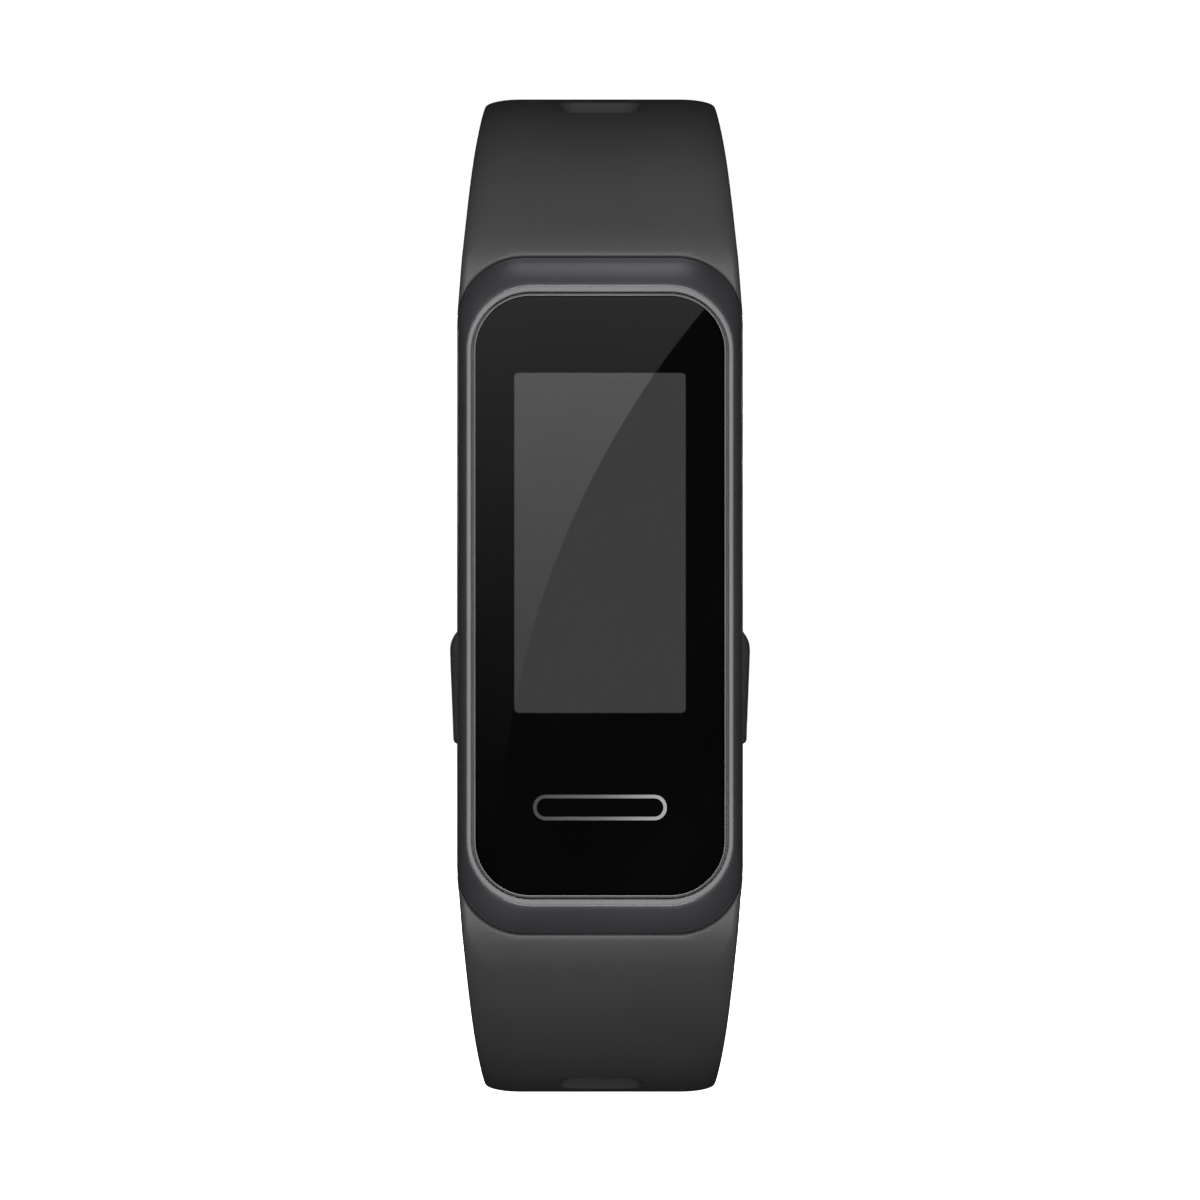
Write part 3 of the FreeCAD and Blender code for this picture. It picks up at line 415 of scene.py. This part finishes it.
def make_lower_strap():
    run = lower_run
    mirror = [((a, -b), (c, -d)) for (a, b), (c, d) in zip(run.outer, run.inner)]
    end = PIN_RISE + BARREL_RADIUS
    straight = -run.straight_rise
    for step in range(1, 4):
        rise = straight + (end - BARREL_RADIUS - straight) * step / 3
        mirror.append(((run.outer_depth, rise), (run.inner_depth, rise)))
    middle = (run.outer_depth + run.inner_depth) / 2
    half = (run.outer_depth - run.inner_depth) / 2
    for step in range(1, 7):
        angle = SQUARE * step / 6
        reach = max(half * math.cos(angle), 0.12)
        rise = end - BARREL_RADIUS + BARREL_RADIUS * math.sin(angle)
        mirror.append(((middle + reach, rise), (middle - reach, rise)))
    rings = [strap_section(outer, inner, strap_half_width(*outer)) for outer, inner in mirror]
    strap = skin("lower_strap_silicone", rings)
    notch_low = PIN_RISE - BARREL_RADIUS - 0.35
    notch_high = end + 2
    notch = rounded_outline(2.4, (notch_high - notch_low) / 2, 0.4, 6)
    centre_rise = (notch_high + notch_low) / 2
    cutter = skin("notch", [[place(depth, centre_rise + z, x) for x, z in notch]
                            for depth in (run.inner_depth - 1, run.outer_depth + 1)])
    carve(strap, [housing_cutter(), recess_cutter(-1), button_room(-1), cutter])
    return strap


def make_upper_strap():
    run = upper_run
    pairs = list(zip(run.outer, run.inner))
    tail_turn = -lower_run.straight_rise
    for step in range(1, 13):
        rise = run.straight_rise + (tail_turn - run.straight_rise) * step / 12
        pairs.append(((run.outer_depth, rise), (run.inner_depth, rise)))
    radius = LOWER_BEND + LAYER_GAP
    widths = [strap_half_width(*outer) for outer, inner in pairs]
    steps = 30
    middle_radius = radius + TAIL_THICKNESS / 2
    tip_length = 5.5
    tip_power = 2.6
    tail_length = TAIL_ANGLE * middle_radius
    stops = [tail_length * step / steps for step in range(1, steps + 1)]
    stops = [s for s in stops if s < tail_length - tip_length]
    stops += [tail_length - tip_length * math.cos(SQUARE * step / 14) for step in range(14)]
    stops.append(tail_length - 0.01)
    for stop in stops:
        angle = -stop / middle_radius
        pairs.append(tuple((TAIL_CENTRE[0] + reach * math.cos(angle),
                            TAIL_CENTRE[1] + reach * math.sin(angle))
                           for reach in (radius + TAIL_THICKNESS, radius)))
        into_tip = max(0.0, (stop - (tail_length - tip_length)) / tip_length)
        widths.append(STRAP_HALF_WIDTH * max(1 - into_tip**tip_power, 0.0) ** (1 / tip_power))
    rings = [strap_section(outer, inner, max(width, 0.6))
             for (outer, inner), width in zip(pairs, widths)]
    strap = skin("upper_strap_silicone", rings)
    cutters = [housing_cutter(), recess_cutter(1), button_room(1)]
    mid = TAIL_INNER + TAIL_THICKNESS / 2
    half = SLOT_LENGTH / 2
    for step in range(-3, 5):
        rise = SLOT_MIDDLE + step * SLOT_PITCH
        if tail_turn + half < rise < run.straight_rise - half:
            middle, along, normal = place(mid, rise), Vector((0, 0, 1)), Vector((0, 1, 0))
        else:
            centre = TAIL_CENTRE if step < 0 else run.bend_centre
            bend_radius = mid - centre[0]
            middle, along, normal = on_bend(centre, bend_radius, (rise - centre[1]) / bend_radius)
        cutters.append(slot_cutter(middle, along, normal, SLOT_LENGTH, SLOT_WIDTH, SLOT_CORNER,
                                   TAIL_THICKNESS / 2))
    carve(strap, cutters)
    return strap


# ---------------------------------------------------------------- tracker body
def outline_ring(depth, width, length, corner, steps=14):
    return [place(depth, z, x) for x, z in rounded_outline(width / 2, length / 2, corner, steps)]


def plug_point(side, along, across, x=0.0):
    """A point of the plug's own axes: along it outwards and across it towards the wrist."""
    depth = PLUG_DEPTH + along * math.sin(PLUG_TILT) + across * math.cos(PLUG_TILT)
    rise = HOUSING_LENGTH / 2 + along * math.cos(PLUG_TILT) - across * math.sin(PLUG_TILT)
    return place(depth, side * rise, x)


def plug_bar(side, start, end, half, width, corner=0.5):
    """A bar of rounded section that lies along the plug's axis."""
    rings = []
    for along in (start, end):
        rings.append([plug_point(side, along, across, x)
                      for x, across in rounded_outline(width / 2, half, corner, 4)])
    return skin("plug_bar", rings)


def inset_ring(depth, outline, inset):
    """A ring that lies inside an outline of width, length and corner radius."""
    width, length, corner = outline
    return outline_ring(depth, width - 2 * inset, length - 2 * inset, corner - inset)


def make_housing():
    """Shell with a convex front bevel, eased edges and a rounded back."""
    waist = (HOUSING_WIDTH, HOUSING_LENGTH, HOUSING_CORNER)
    cavity = (15.6, 38.0, 3.2)
    rings = [outline_ring(CAVITY_DEPTH, *cavity), outline_ring(POCKET_DEPTH, *cavity),
             outline_ring(POCKET_DEPTH, *POCKET), outline_ring(RING_DEPTH, *POCKET),
             outline_ring(RING_DEPTH, *RING)]
    bulge = 0.13
    steps = 8
    half_run = (HOUSING_LENGTH - BEVEL[1]) / 2
    drop = WAIST_DEPTH - RING_DEPTH
    run = math.hypot(drop, half_run)
    for step in range(steps):
        share = (step / steps) * 0.93 + 0.015
        lift = 4 * bulge * share * (1 - share)
        depth = RING_DEPTH + drop * share - lift * half_run / run
        grow = 2 * lift * drop / run
        rings.append(outline_ring(depth, *(a + (b - a) * share + grow * k
                                           for a, b, k in zip(BEVEL, waist, (1, 1, 0.5)))))
    ease = 0.16
    for step in range(5):
        angle = math.radians(35) + math.radians(55) * step / 4
        depth = WAIST_DEPTH + 0.1 - ease * math.cos(angle)
        rings.append(inset_ring(depth, waist, ease * (1 - math.sin(angle))))
    back_in, back_down = 0.6, 1.1
    for step in range(9):
        angle = SQUARE * step / 8
        depth = BACK_DEPTH - back_down * (1 - math.sin(angle))
        rings.append(inset_ring(depth, waist, back_in * (1 - math.cos(angle))))
    opening = (15.7, 38.4, 3.2)
    rings.append(outline_ring(BACK_DEPTH, *opening))
    rings.append(outline_ring(CAVITY_DEPTH, *opening))
    shell = skin("housing_body", rings, closed=True)
    half = 0.9
    carve(shell, [plug_bar(-1, -5, 2, half, 12.0), plug_bar(-1, -2.6, 2, half + 0.6, 13.2, 1.0),
                  plug_bar(1, -2.3, 2, 1.05, 12.1)])
    return shell


def make_ring():
    """Raised rim round the glass, with a crowned face that is wider at the ends."""
    half_side, half_end = 0.145, 0.2
    crest, fall = 0.05, 0.07
    width, length, corner = RING
    rings = [outline_ring(RING_DEPTH, *RING)]
    for step in range(9):
        angle = 2 * SQUARE * step / 8
        across = 1 - math.cos(angle)
        depth = crest + fall * (1 - math.sin(angle) ** 0.5)
        rings.append(outline_ring(depth, width - 2 * half_side * across,
                                  length - 2 * half_end * across, corner - 0.175 * across))
    rings.append(outline_ring(RING_DEPTH, *POCKET))
    return skin("bezel_rim", rings, closed=True)


def make_glass():
    ease = 0.15
    rings = [outline_ring(GLASS_BACK, *GLASS)]
    for step in range(9):
        angle = SQUARE * step / 8
        rings.append(inset_ring(ease * (1 - math.sin(angle)), GLASS, ease * (1 - math.cos(angle))))
    return skin("glass_front", rings)


def make_key_centre():
    """Black middle of the touch key, inside its printed outline."""
    outline = rounded_outline(KEY_WIDTH / 2 - KEY_LINE, KEY_HEIGHT / 2 - KEY_LINE,
                              KEY_HEIGHT / 2 - KEY_LINE - 0.01, 10)
    return skin("touch_key_centre", [[place(depth, z + KEY_RISE, x) for x, z in outline]
                                     for depth in KEY_DEPTHS])


def make_sensor_film():
    return skin("sensor_film", [outline_ring(depth, *FILM) for depth in FILM_DEPTHS])


def make_release_button(side):
    """Release button behind the plug, with rounded corners and a softened pressing face."""
    low, high, ease = 2.05, 2.95, 0.35
    levels = [(low, 0.12), (low + 0.1, 0.0)]
    for step in range(7):
        angle = SQUARE * step / 6
        levels.append((high - ease * (1 - math.sin(angle)), ease * (1 - math.cos(angle))))
    rings = []
    for across, inset in levels:
        outline = rounded_outline(2.9 - inset, 1.2 - inset, 0.8 - inset / 2, 6)
        rings.append([plug_point(side, BUTTON_ALONG + along, across, x) for x, along in outline])
    return skin("release_button_cap", rings)


# ---------------------------------------------------------------- clasp
def power_ring(centre, first, second, half_first, half_second, power=3.4, steps=32):
    """A ring of superellipse section about a centre, in the plane of two directions."""
    points = []
    for step in range(steps):
        angle = 4 * SQUARE * step / steps
        c, s = math.cos(angle), math.sin(angle)
        a = half_first * math.copysign(abs(c) ** (2 / power), c)
        b = half_second * math.copysign(abs(s) ** (2 / power), s)
        points.append(centre + (first * a + second * b) * MM)
    return points


FRAME_SLOPE = math.radians(31)
FRAME_ALONG = Vector((0, math.sin(FRAME_SLOPE), math.cos(FRAME_SLOPE)))
FRAME_NORMAL = Vector((0, math.cos(FRAME_SLOPE), -math.sin(FRAME_SLOPE)))


def frame_point(x, up):
    """A point of the buckle frame's own plane, from the pin."""
    return place(PIN_DEPTH, PIN_RISE) + (ACROSS * x + FRAME_ALONG * up) * MM


def make_buckle_frame():
    """Three-sided frame of soft section, swept from one heel over the bar to the other."""
    wide, narrow, opening = 10.6, 10.3, 8.05
    reach, bar, heel = 8.2, 1.7, -1.15
    corner, inner_corner = 2.2, 0.9
    half_thick = 0.75
    inside = reach - bar
    outer = line((narrow, heel), (wide, reach - corner), 10)[:-1]
    outer += arc((wide - corner, reach - corner), corner, 0, SQUARE, 10)
    inner = line((opening, heel), (opening, inside - inner_corner), 10)[:-1]
    inner += arc((opening - inner_corner, inside - inner_corner), inner_corner, 0, SQUARE, 10)
    half = list(zip(outer, inner))
    stations = half + [((-a, b), (-c, d)) for (a, b), (c, d) in reversed(half)]
    rings = []
    for a, b in stations:
        start, end = frame_point(*a), frame_point(*b)
        rings.append(power_ring((start + end) / 2, (start - end).normalized(), FRAME_NORMAL,
                                (start - end).length / MM / 2, half_thick))
    middle = (narrow + opening) / 2
    width = (narrow - opening) / 2
    for side in (1, -1):
        ends = []
        for step in range(1, 9):
            angle = SQUARE * step / 8
            shrink = max(math.cos(angle), 0.04)
            centre = frame_point(side * middle, heel - 0.35 * math.sin(angle))
            ends.append(power_ring(centre, ACROSS * side, FRAME_NORMAL, width - 0.9 * (1 - shrink),
                                   half_thick * max(shrink, 0.15)))
        rings = list(reversed(ends)) + rings if side > 0 else rings + ends
    return skin("buckle_frame_bar", rings)


def make_buckle_tongue():
    """Flat tongue: a curled barrel round the pin and a blade that bends up behind the tail."""
    bend, level, top = 1.4, 5.15, 7.2
    half_width, half_thick, tip = 2.2, 0.4, 1.2
    turn = math.radians(45)
    cut = bend * math.tan(turn / 2)
    path = line((0.3, 0.3), (level - cut * math.sin(turn), level - cut * math.cos(turn)), 6)[:-1]
    path += arc((level - bend, level + cut), bend, -turn, 0, 6)
    path += line((level, level + cut), (level, top), 6)[1:]
    rings = []
    for index, (out, up) in enumerate(path):
        before, after = path[max(index - 1, 0)], path[min(index + 1, len(path) - 1)]
        along = Vector((0, after[0] - before[0], after[1] - before[1])).normalized()
        normal = Vector((0, along.z, -along.y))
        left = top - up
        width = half_width
        if left <= tip:
            width *= max(1 - (1 - left / tip) ** 2.4, 0.12) ** 0.5
        rings.append(power_ring(place(PIN_DEPTH + out, PIN_RISE + up), ACROSS, normal,
                                width, half_thick if left > 0.2 else 0.3, 4.0))
    blade = skin("buckle_tongue_blade", rings)
    half_barrel = [(half_width, 0.72), (half_width - 0.06, 0.87), (half_width - 0.2, BARREL_RADIUS)]
    barrel_rings = []
    for x, radius in [(-x, radius) for x, radius in half_barrel] + half_barrel[::-1]:
        circle = arc((PIN_DEPTH, PIN_RISE), radius, 0, 4 * SQUARE, 40)[:-1]
        barrel_rings.append([place(depth, rise, x) for depth, rise in circle])
    barrel = skin("barrel", barrel_rings)
    step = blade.modifiers.new("join", "BOOLEAN")
    step.operation = "UNION"
    step.solver = "MANIFOLD"
    step.object = barrel
    settle(blade)
    bpy.data.objects.remove(barrel)
    return blade


def make_keeper():
    """Free loop of the strap's material, lying over the bend below the clasp."""
    middle = math.radians(-17)
    out = Vector((0, math.cos(middle), math.sin(middle)))
    along = Vector((0, -math.sin(middle), math.cos(middle)))
    centre = place(*TAIL_CENTRE)
    low, high, half_width, wall = 16.8, 22.7, 8.7, 0.9
    mid_radius = (low + high) / 2
    loop = rounded_outline(half_width - wall / 2, (high - low - wall) / 2, 1.15, 8)
    count = len(loop)
    rings = []
    for index, (x, up) in enumerate(loop):
        before, after = loop[index - 1], loop[(index + 1) % count]
        direction = Vector((after[0] - before[0], after[1] - before[1])).normalized()
        side = ACROSS * direction.y - out * direction.x
        at = centre + (ACROSS * x + out * (mid_radius + up)) * MM
        rings.append(power_ring(at, side, along, wall / 2, 2.45, 3.0, 36))
    return skin("keeper_loop", rings, closed=True)


# ---------------------------------------------------------------- materials
def material(name, colour, roughness, metallic=0.0, specular=0.5, ior=1.5):
    item = bpy.data.materials.new(name)
    item.use_nodes = True
    shader = item.node_tree.nodes["Principled BSDF"]
    shader.inputs["Base Color"].default_value = (*colour, 1)
    shader.inputs["Roughness"].default_value = roughness
    shader.inputs["Metallic"].default_value = metallic
    shader.inputs["IOR"].default_value = ior
    shader.inputs["Specular IOR Level"].default_value = specular
    return item, item.node_tree, shader


def texture(tree, kind, scale, **inputs):
    """A 3-D texture in the piece's own coordinates; scale is in features per metre."""
    where = tree.nodes.new("ShaderNodeTexCoord")
    node = tree.nodes.new(f"ShaderNodeTex{kind}")
    node.inputs["Scale"].default_value = scale
    for key, value in inputs.items():
        node.inputs[key].default_value = value
    tree.links.new(where.outputs["Object"], node.inputs["Vector"])
    return node


def vary_colour(tree, shader, source, low, high):
    ramp = tree.nodes.new("ShaderNodeValToRGB")
    ramp.color_ramp.elements[0].position = 0.35
    ramp.color_ramp.elements[1].position = 0.65
    ramp.color_ramp.elements[0].color = (*low, 1)
    ramp.color_ramp.elements[1].color = (*high, 1)
    tree.links.new(source, ramp.inputs["Fac"])
    tree.links.new(ramp.outputs["Color"], shader.inputs["Base Color"])


def vary_roughness(tree, shader, source, low, high):
    span = tree.nodes.new("ShaderNodeMapRange")
    span.inputs["To Min"].default_value = low
    span.inputs["To Max"].default_value = high
    tree.links.new(source, span.inputs["Value"])
    tree.links.new(span.outputs["Result"], shader.inputs["Roughness"])


def bump(tree, shader, source, strength, distance):
    node = tree.nodes.new("ShaderNodeBump")
    node.inputs["Strength"].default_value = strength
    node.inputs["Distance"].default_value = distance
    tree.links.new(source, node.inputs["Height"])
    tree.links.new(node.outputs["Normal"], shader.inputs["Normal"])


def grained(name, low, high, roughness, grain, depth, specular=0.5, metallic=0.0, ior=1.5):
    """A moulded or rubbery surface: fine grain, with colour and gloss that drift slightly."""
    item, tree, shader = material(name, high, roughness[1], metallic, specular, ior)
    fine = texture(tree, "Noise", grain, Detail=3.0, Roughness=0.6)
    broad = texture(tree, "Noise", 160.0, Detail=2.0)
    vary_colour(tree, shader, broad.outputs["Fac"], low, high)
    vary_roughness(tree, shader, fine.outputs["Fac"], *roughness)
    bump(tree, shader, fine.outputs["Fac"], 0.35, depth)
    return item


def paint(node, item):
    """Give a CAD node, or a new piece, one material."""
    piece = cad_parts[node] if isinstance(node, str) else node
    piece.data.materials.clear()
    piece.data.materials.append(item)


def key_material():
    """Grey print of the key's outline, with a painted highlight that brightens it towards one end.
    """
    item, tree, shader = material("key_print_and_painted_highlight", (0.1, 0.1, 0.1), 0.6, specular=0.2)
    where = tree.nodes.new("ShaderNodeTexCoord")
    split = tree.nodes.new("ShaderNodeSeparateXYZ")
    span = tree.nodes.new("ShaderNodeMapRange")
    reach = 4.3 * MM
    span.inputs["From Min"].default_value = -reach
    span.inputs["From Max"].default_value = reach
    tree.links.new(where.outputs["Object"], split.inputs["Vector"])
    tree.links.new(split.outputs["X"], span.inputs["Value"])
    # Painted highlight: the print's colour rises from near black at -x to light grey at +x.
    vary_colour(tree, shader, span.outputs["Result"], (0.015, 0.015, 0.0153), (0.17, 0.17, 0.173))
    ramp = shader.inputs["Base Color"].links[0].from_node.color_ramp
    ramp.elements[0].position = 0.0
    ramp.elements[1].position = 1.0
    ramp.elements.new(0.5).color = (0.052, 0.052, 0.053, 1)
    fine = texture(tree, "Noise", 9000, Detail=2.0)
    vary_roughness(tree, shader, fine.outputs["Fac"], 0.55, 0.7)
    bump(tree, shader, fine.outputs["Fac"], 0.2, 1e-6)
    return item


def clear_film(name):
    """A clear layer; the print and the display behind it carry the reflection."""
    item, tree, shader = material(name, (1, 1, 1), 0.1)
    nodes = tree.nodes
    clear = nodes.new("ShaderNodeBsdfTransparent")
    clear.inputs["Color"].default_value = (1, 1, 1, 1)
    tree.links.new(clear.outputs["BSDF"], nodes["Material Output"].inputs["Surface"])
    nodes.remove(shader)
    return item


silicone = grained("strap_silicone", (0.0195, 0.0195, 0.0202), (0.0215, 0.0215, 0.0222),
                   roughness=(0.50, 0.60), grain=9000, depth=2e-5, specular=0.4)
housing_paint = grained("housing_satin", (0.070, 0.068, 0.077), (0.080, 0.078, 0.088),
                        roughness=(0.32, 0.4), grain=12000, depth=6e-6, metallic=0.75)
rear_plastic = grained("rear_satin_black", (0.016, 0.016, 0.018), (0.022, 0.022, 0.024),
                       roughness=(0.35, 0.5), grain=8000, depth=1e-5)
buckle_paint = grained("buckle_satin", (0.024, 0.024, 0.025), (0.028, 0.028, 0.029),
                       roughness=(0.42, 0.52), grain=12000, depth=6e-6)
trim_metal = grained("rim_satin_metal", (0.066, 0.066, 0.068), (0.074, 0.074, 0.076),
                     roughness=(0.55, 0.65), grain=15000, depth=3e-6)
print_black = grained("glass_print_black", (0.0006, 0.0006, 0.0006), (0.0009, 0.0009, 0.0009),
                      roughness=(0.0, 0.01), grain=9000, depth=1e-8)
glass_edge = grained("glass_ground_edge", (0.050, 0.050, 0.051), (0.060, 0.060, 0.061),
                     roughness=(0.35, 0.45), grain=15000, depth=1e-6)
display_face = grained("display_face", (0.0218, 0.0218, 0.0225), (0.0222, 0.0222, 0.0230),
                       roughness=(0.0, 0.01), grain=9000, depth=1e-8, specular=1.0, ior=1.6)
steel = grained("stamped_steel", (0.5, 0.5, 0.5), (0.58, 0.58, 0.58),
                roughness=(0.25, 0.4), grain=5000, depth=5e-6, metallic=1.0)
lens_black = grained("sensor_lens_dark", (0.004, 0.004, 0.005), (0.006, 0.006, 0.007),
                     roughness=(0.05, 0.08), grain=4000, depth=1e-7)
circuit = grained("circuit_mask", (0.012, 0.012, 0.012), (0.02, 0.02, 0.02),
                  roughness=(0.35, 0.5), grain=3000, depth=1e-5)
gold = grained("gold_plate", (0.78, 0.55, 0.2), (0.85, 0.62, 0.25),
               roughness=(0.4, 0.5), grain=5000, depth=3e-7, metallic=1.0)
moulded = grained("moulded_black", (0.02, 0.02, 0.02), (0.03, 0.03, 0.03),
                  roughness=(0.4, 0.55), grain=6000, depth=1e-5)

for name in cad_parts:
    paint(name, moulded)
for name, item in (
        ("rear_cover", rear_plastic), ("sensor_window", lens_black),
        ("glass_mask_print", print_black), ("glass_adhesive", print_black),
        ("touch_key_outline", key_material()), ("display_panel", display_face),
        ("usb_plug_tongue", circuit), ("main_board", circuit), ("usb_contacts", gold),
        ("buckle_pin", steel), ("upper_latch_spring", steel), ("lower_latch_spring", steel)):
    paint(name, item)


# ---------------------------------------------------------------- visible pieces
def show(piece, node, body, item, degrees=35):
    """Finish a piece that stands for a CAD node and let it move with its body."""
    smooth(piece, degrees)
    paint(piece, item)
    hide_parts(node)
    if body:
        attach(piece, body)
    return piece


housing = show(make_housing(), "housing_shell", "tracker", housing_paint, 50)
housing.data.materials.append(rear_plastic)
# Faces that lie wholly inside these limits are inside the shell and take the black plastic; on the
# walls and ledge of the pocket round the glass this black is painted shade that darkens the gap.
inner_and_gap_shade_x = 8.4 * MM
inner_and_gap_shade_z = 19.7 * MM
for face in housing.data.polygons:
    corners = [housing.data.vertices[corner].co for corner in face.vertices]
    face.material_index = int(all(abs(at.x) < inner_and_gap_shade_x and abs(at.z) < inner_and_gap_shade_z for at in corners))
show(make_ring(), "bezel_ring", "tracker", trim_metal, 50)
glass = show(make_glass(), "cover_glass", "tracker", clear_film("cover_glass_clear"), 50)
glass.data.materials.append(glass_edge)
for face in glass.data.polygons:
    face.material_index = int(len(face.vertices) < CAP_CORNERS)
show(make_sensor_film(), "touch_sensor_film", "tracker", clear_film("sensor_film_clear"))
show(make_lower_strap(), "lower_strap", "lower_band", silicone)
show(make_release_button(-1), "lower_release_button", "lower_button", moulded, 50)
show(make_release_button(1), "upper_release_button", "upper_button", moulded, 50)
show(make_buckle_frame(), "buckle_frame", "buckle_frame", buckle_paint, 60)
show(make_buckle_tongue(), "buckle_tongue", "buckle_tongue", buckle_paint, 40)
show(make_keeper(), "strap_keeper", "keeper", silicone, 60)
upper_strap = show(make_upper_strap(), "upper_strap", None, silicone)
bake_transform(upper_strap)
key_centre = make_key_centre()
paint(key_centre, print_black)
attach(key_centre, "tracker")

# ---------------------------------------------------------------- stage, light and camera
STRAP_TRAVEL = 12.0
CAMERA_REACH = 600.0
CAMERA_RISE = -0.29
VIEW_WIDTH = 77.42


def make_floor():
    bpy.ops.mesh.primitive_plane_add(size=3.0, location=(0, 0.4, (-TOP - STRAP_TRAVEL) * MM))
    floor = bpy.context.object
    floor.name = "floor"
    item, _, shader = material("floor_white", (0.9, 0.9, 0.9), 0.9)
    shader.inputs["Emission Color"].default_value = (1, 1, 1, 1)
    shader.inputs["Emission Strength"].default_value = 1.1
    floor.data.materials.append(item)
    floor.visible_diffuse = False
    floor.visible_glossy = False
    floor.visible_shadow = False


def make_world():
    world = bpy.data.worlds.new("studio")
    bpy.context.scene.world = world
    world.use_nodes = True
    nodes, links = world.node_tree.nodes, world.node_tree.links
    back = nodes["Background"]
    back.inputs["Color"].default_value = (1, 1, 1, 1)
    back.inputs["Strength"].default_value = 1.05
    dim = nodes.new("ShaderNodeBackground")
    dim.inputs["Color"].default_value = (1, 1, 1, 1)
    dim.inputs["Strength"].default_value = 0.10
    path = nodes.new("ShaderNodeLightPath")
    mix = nodes.new("ShaderNodeMixShader")
    seen = nodes.new("ShaderNodeMixShader")
    mirrored = nodes.new("ShaderNodeBackground")
    mirrored.inputs["Color"].default_value = (1, 1, 1, 1)
    mirrored.inputs["Strength"].default_value = 0.02
    links.new(path.outputs["Is Glossy Ray"], seen.inputs["Fac"])
    links.new(dim.outputs["Background"], seen.inputs[1])
    links.new(mirrored.outputs["Background"], seen.inputs[2])
    links.new(path.outputs["Is Camera Ray"], mix.inputs["Fac"])
    links.new(seen.outputs["Shader"], mix.inputs[1])
    links.new(back.outputs["Background"], mix.inputs[2])
    links.new(mix.outputs["Shader"], nodes["World Output"].inputs["Surface"])


def area_light(name, where, size, power, diffuse=True, glossy=True):
    light = bpy.data.lights.new(name, "AREA")
    light.shape = "RECTANGLE"
    light.size, light.size_y = size
    light.energy = power
    item = bpy.data.objects.new(name, light)
    bpy.context.scene.collection.objects.link(item)
    item.location = where
    item.rotation_euler = (-Vector(where)).to_track_quat("-Z", "Y").to_euler()
    item.visible_diffuse = diffuse
    item.visible_glossy = glossy
    return item


def make_camera():
    camera = bpy.data.cameras.new("camera")
    camera.sensor_width = 36.0
    camera.lens = camera.sensor_width * CAMERA_REACH / VIEW_WIDTH
    camera.clip_start = 0.01
    camera.clip_end = 20
    item = bpy.data.objects.new("camera", camera)
    bpy.context.scene.collection.objects.link(item)
    item.location = (0, (GLASS_Y - CAMERA_REACH) * MM, CAMERA_RISE * MM)
    item.rotation_euler = (SQUARE, 0, 0)
    bpy.context.scene.camera = item


def make_reflection():
    """A curved soft box behind the camera, seen only as the bright sweep on the glass."""
    reach = CAMERA_REACH + 100
    grow = (1 + reach / CAMERA_REACH) * MM
    lift = 0.34 * MM
    centre_x, centre_z, radius = 49.96, -18.0, 56.57
    top, bottom, left, steps = 24.0, -20.5, -14.0, 60
    fade_from, fade_to, brightest = -21.6, 20.0, 0.763
    edge = []
    for step in range(steps + 1):
        z = top + (bottom - top) * step / steps
        edge.append((centre_x - math.sqrt(radius**2 - (z - centre_z) ** 2), z))
    corners = edge + [(left, bottom), (left, top)]
    points = [Vector((x * grow, (GLASS_Y - reach) * MM, z * grow + lift)) for x, z in corners]
    sheet = mesh_from("reflection_card", points, [tuple(range(len(points)))])
    card = new_object("reflection_card", sheet)
    item = bpy.data.materials.new("card_glow")
    item.use_nodes = True
    tree = item.node_tree
    tree.nodes.remove(tree.nodes["Principled BSDF"])
    glow = tree.nodes.new("ShaderNodeEmission")
    where = tree.nodes.new("ShaderNodeTexCoord")
    split = tree.nodes.new("ShaderNodeSeparateXYZ")
    fade = tree.nodes.new("ShaderNodeMapRange")
    fade.inputs["From Min"].default_value = fade_from * grow
    fade.inputs["From Max"].default_value = fade_to * grow
    fade.inputs["To Max"].default_value = brightest
    square = tree.nodes.new("ShaderNodeMath")
    square.operation = "POWER"
    square.inputs[1].default_value = 2.0
    tree.links.new(where.outputs["Object"], split.inputs["Vector"])
    tree.links.new(split.outputs["Z"], fade.inputs["Value"])
    tree.links.new(fade.outputs["Result"], square.inputs[0])
    tree.links.new(square.outputs["Value"], glow.inputs["Strength"])
    tree.links.new(glow.outputs["Emission"], tree.nodes["Material Output"].inputs["Surface"])
    card.data.materials.append(item)
    card.visible_camera = False
    card.visible_diffuse = False
    card.visible_shadow = False


make_floor()
make_world()
make_camera()
make_reflection()
area_light("front_high", (0, -0.75, 0.16), (0.3, 0.12), 4.0)
area_light("front_low", (0, -0.75, -0.16), (0.3, 0.12), 4.0)
area_light("front_left", (-0.20, -0.75, 0), (0.12, 0.2), 2.1, glossy=False)
area_light("front_right", (0.20, -0.75, 0), (0.12, 0.2), 2.1, glossy=False)
area_light("overhead", (0, -0.15, 0.68), (0.35, 0.3), 0.6, diffuse=False)
area_light("behind", (0, 0.8, 0.06), (0.5, 0.1), 4)
bpy.context.scene.view_settings.view_transform = "Standard"
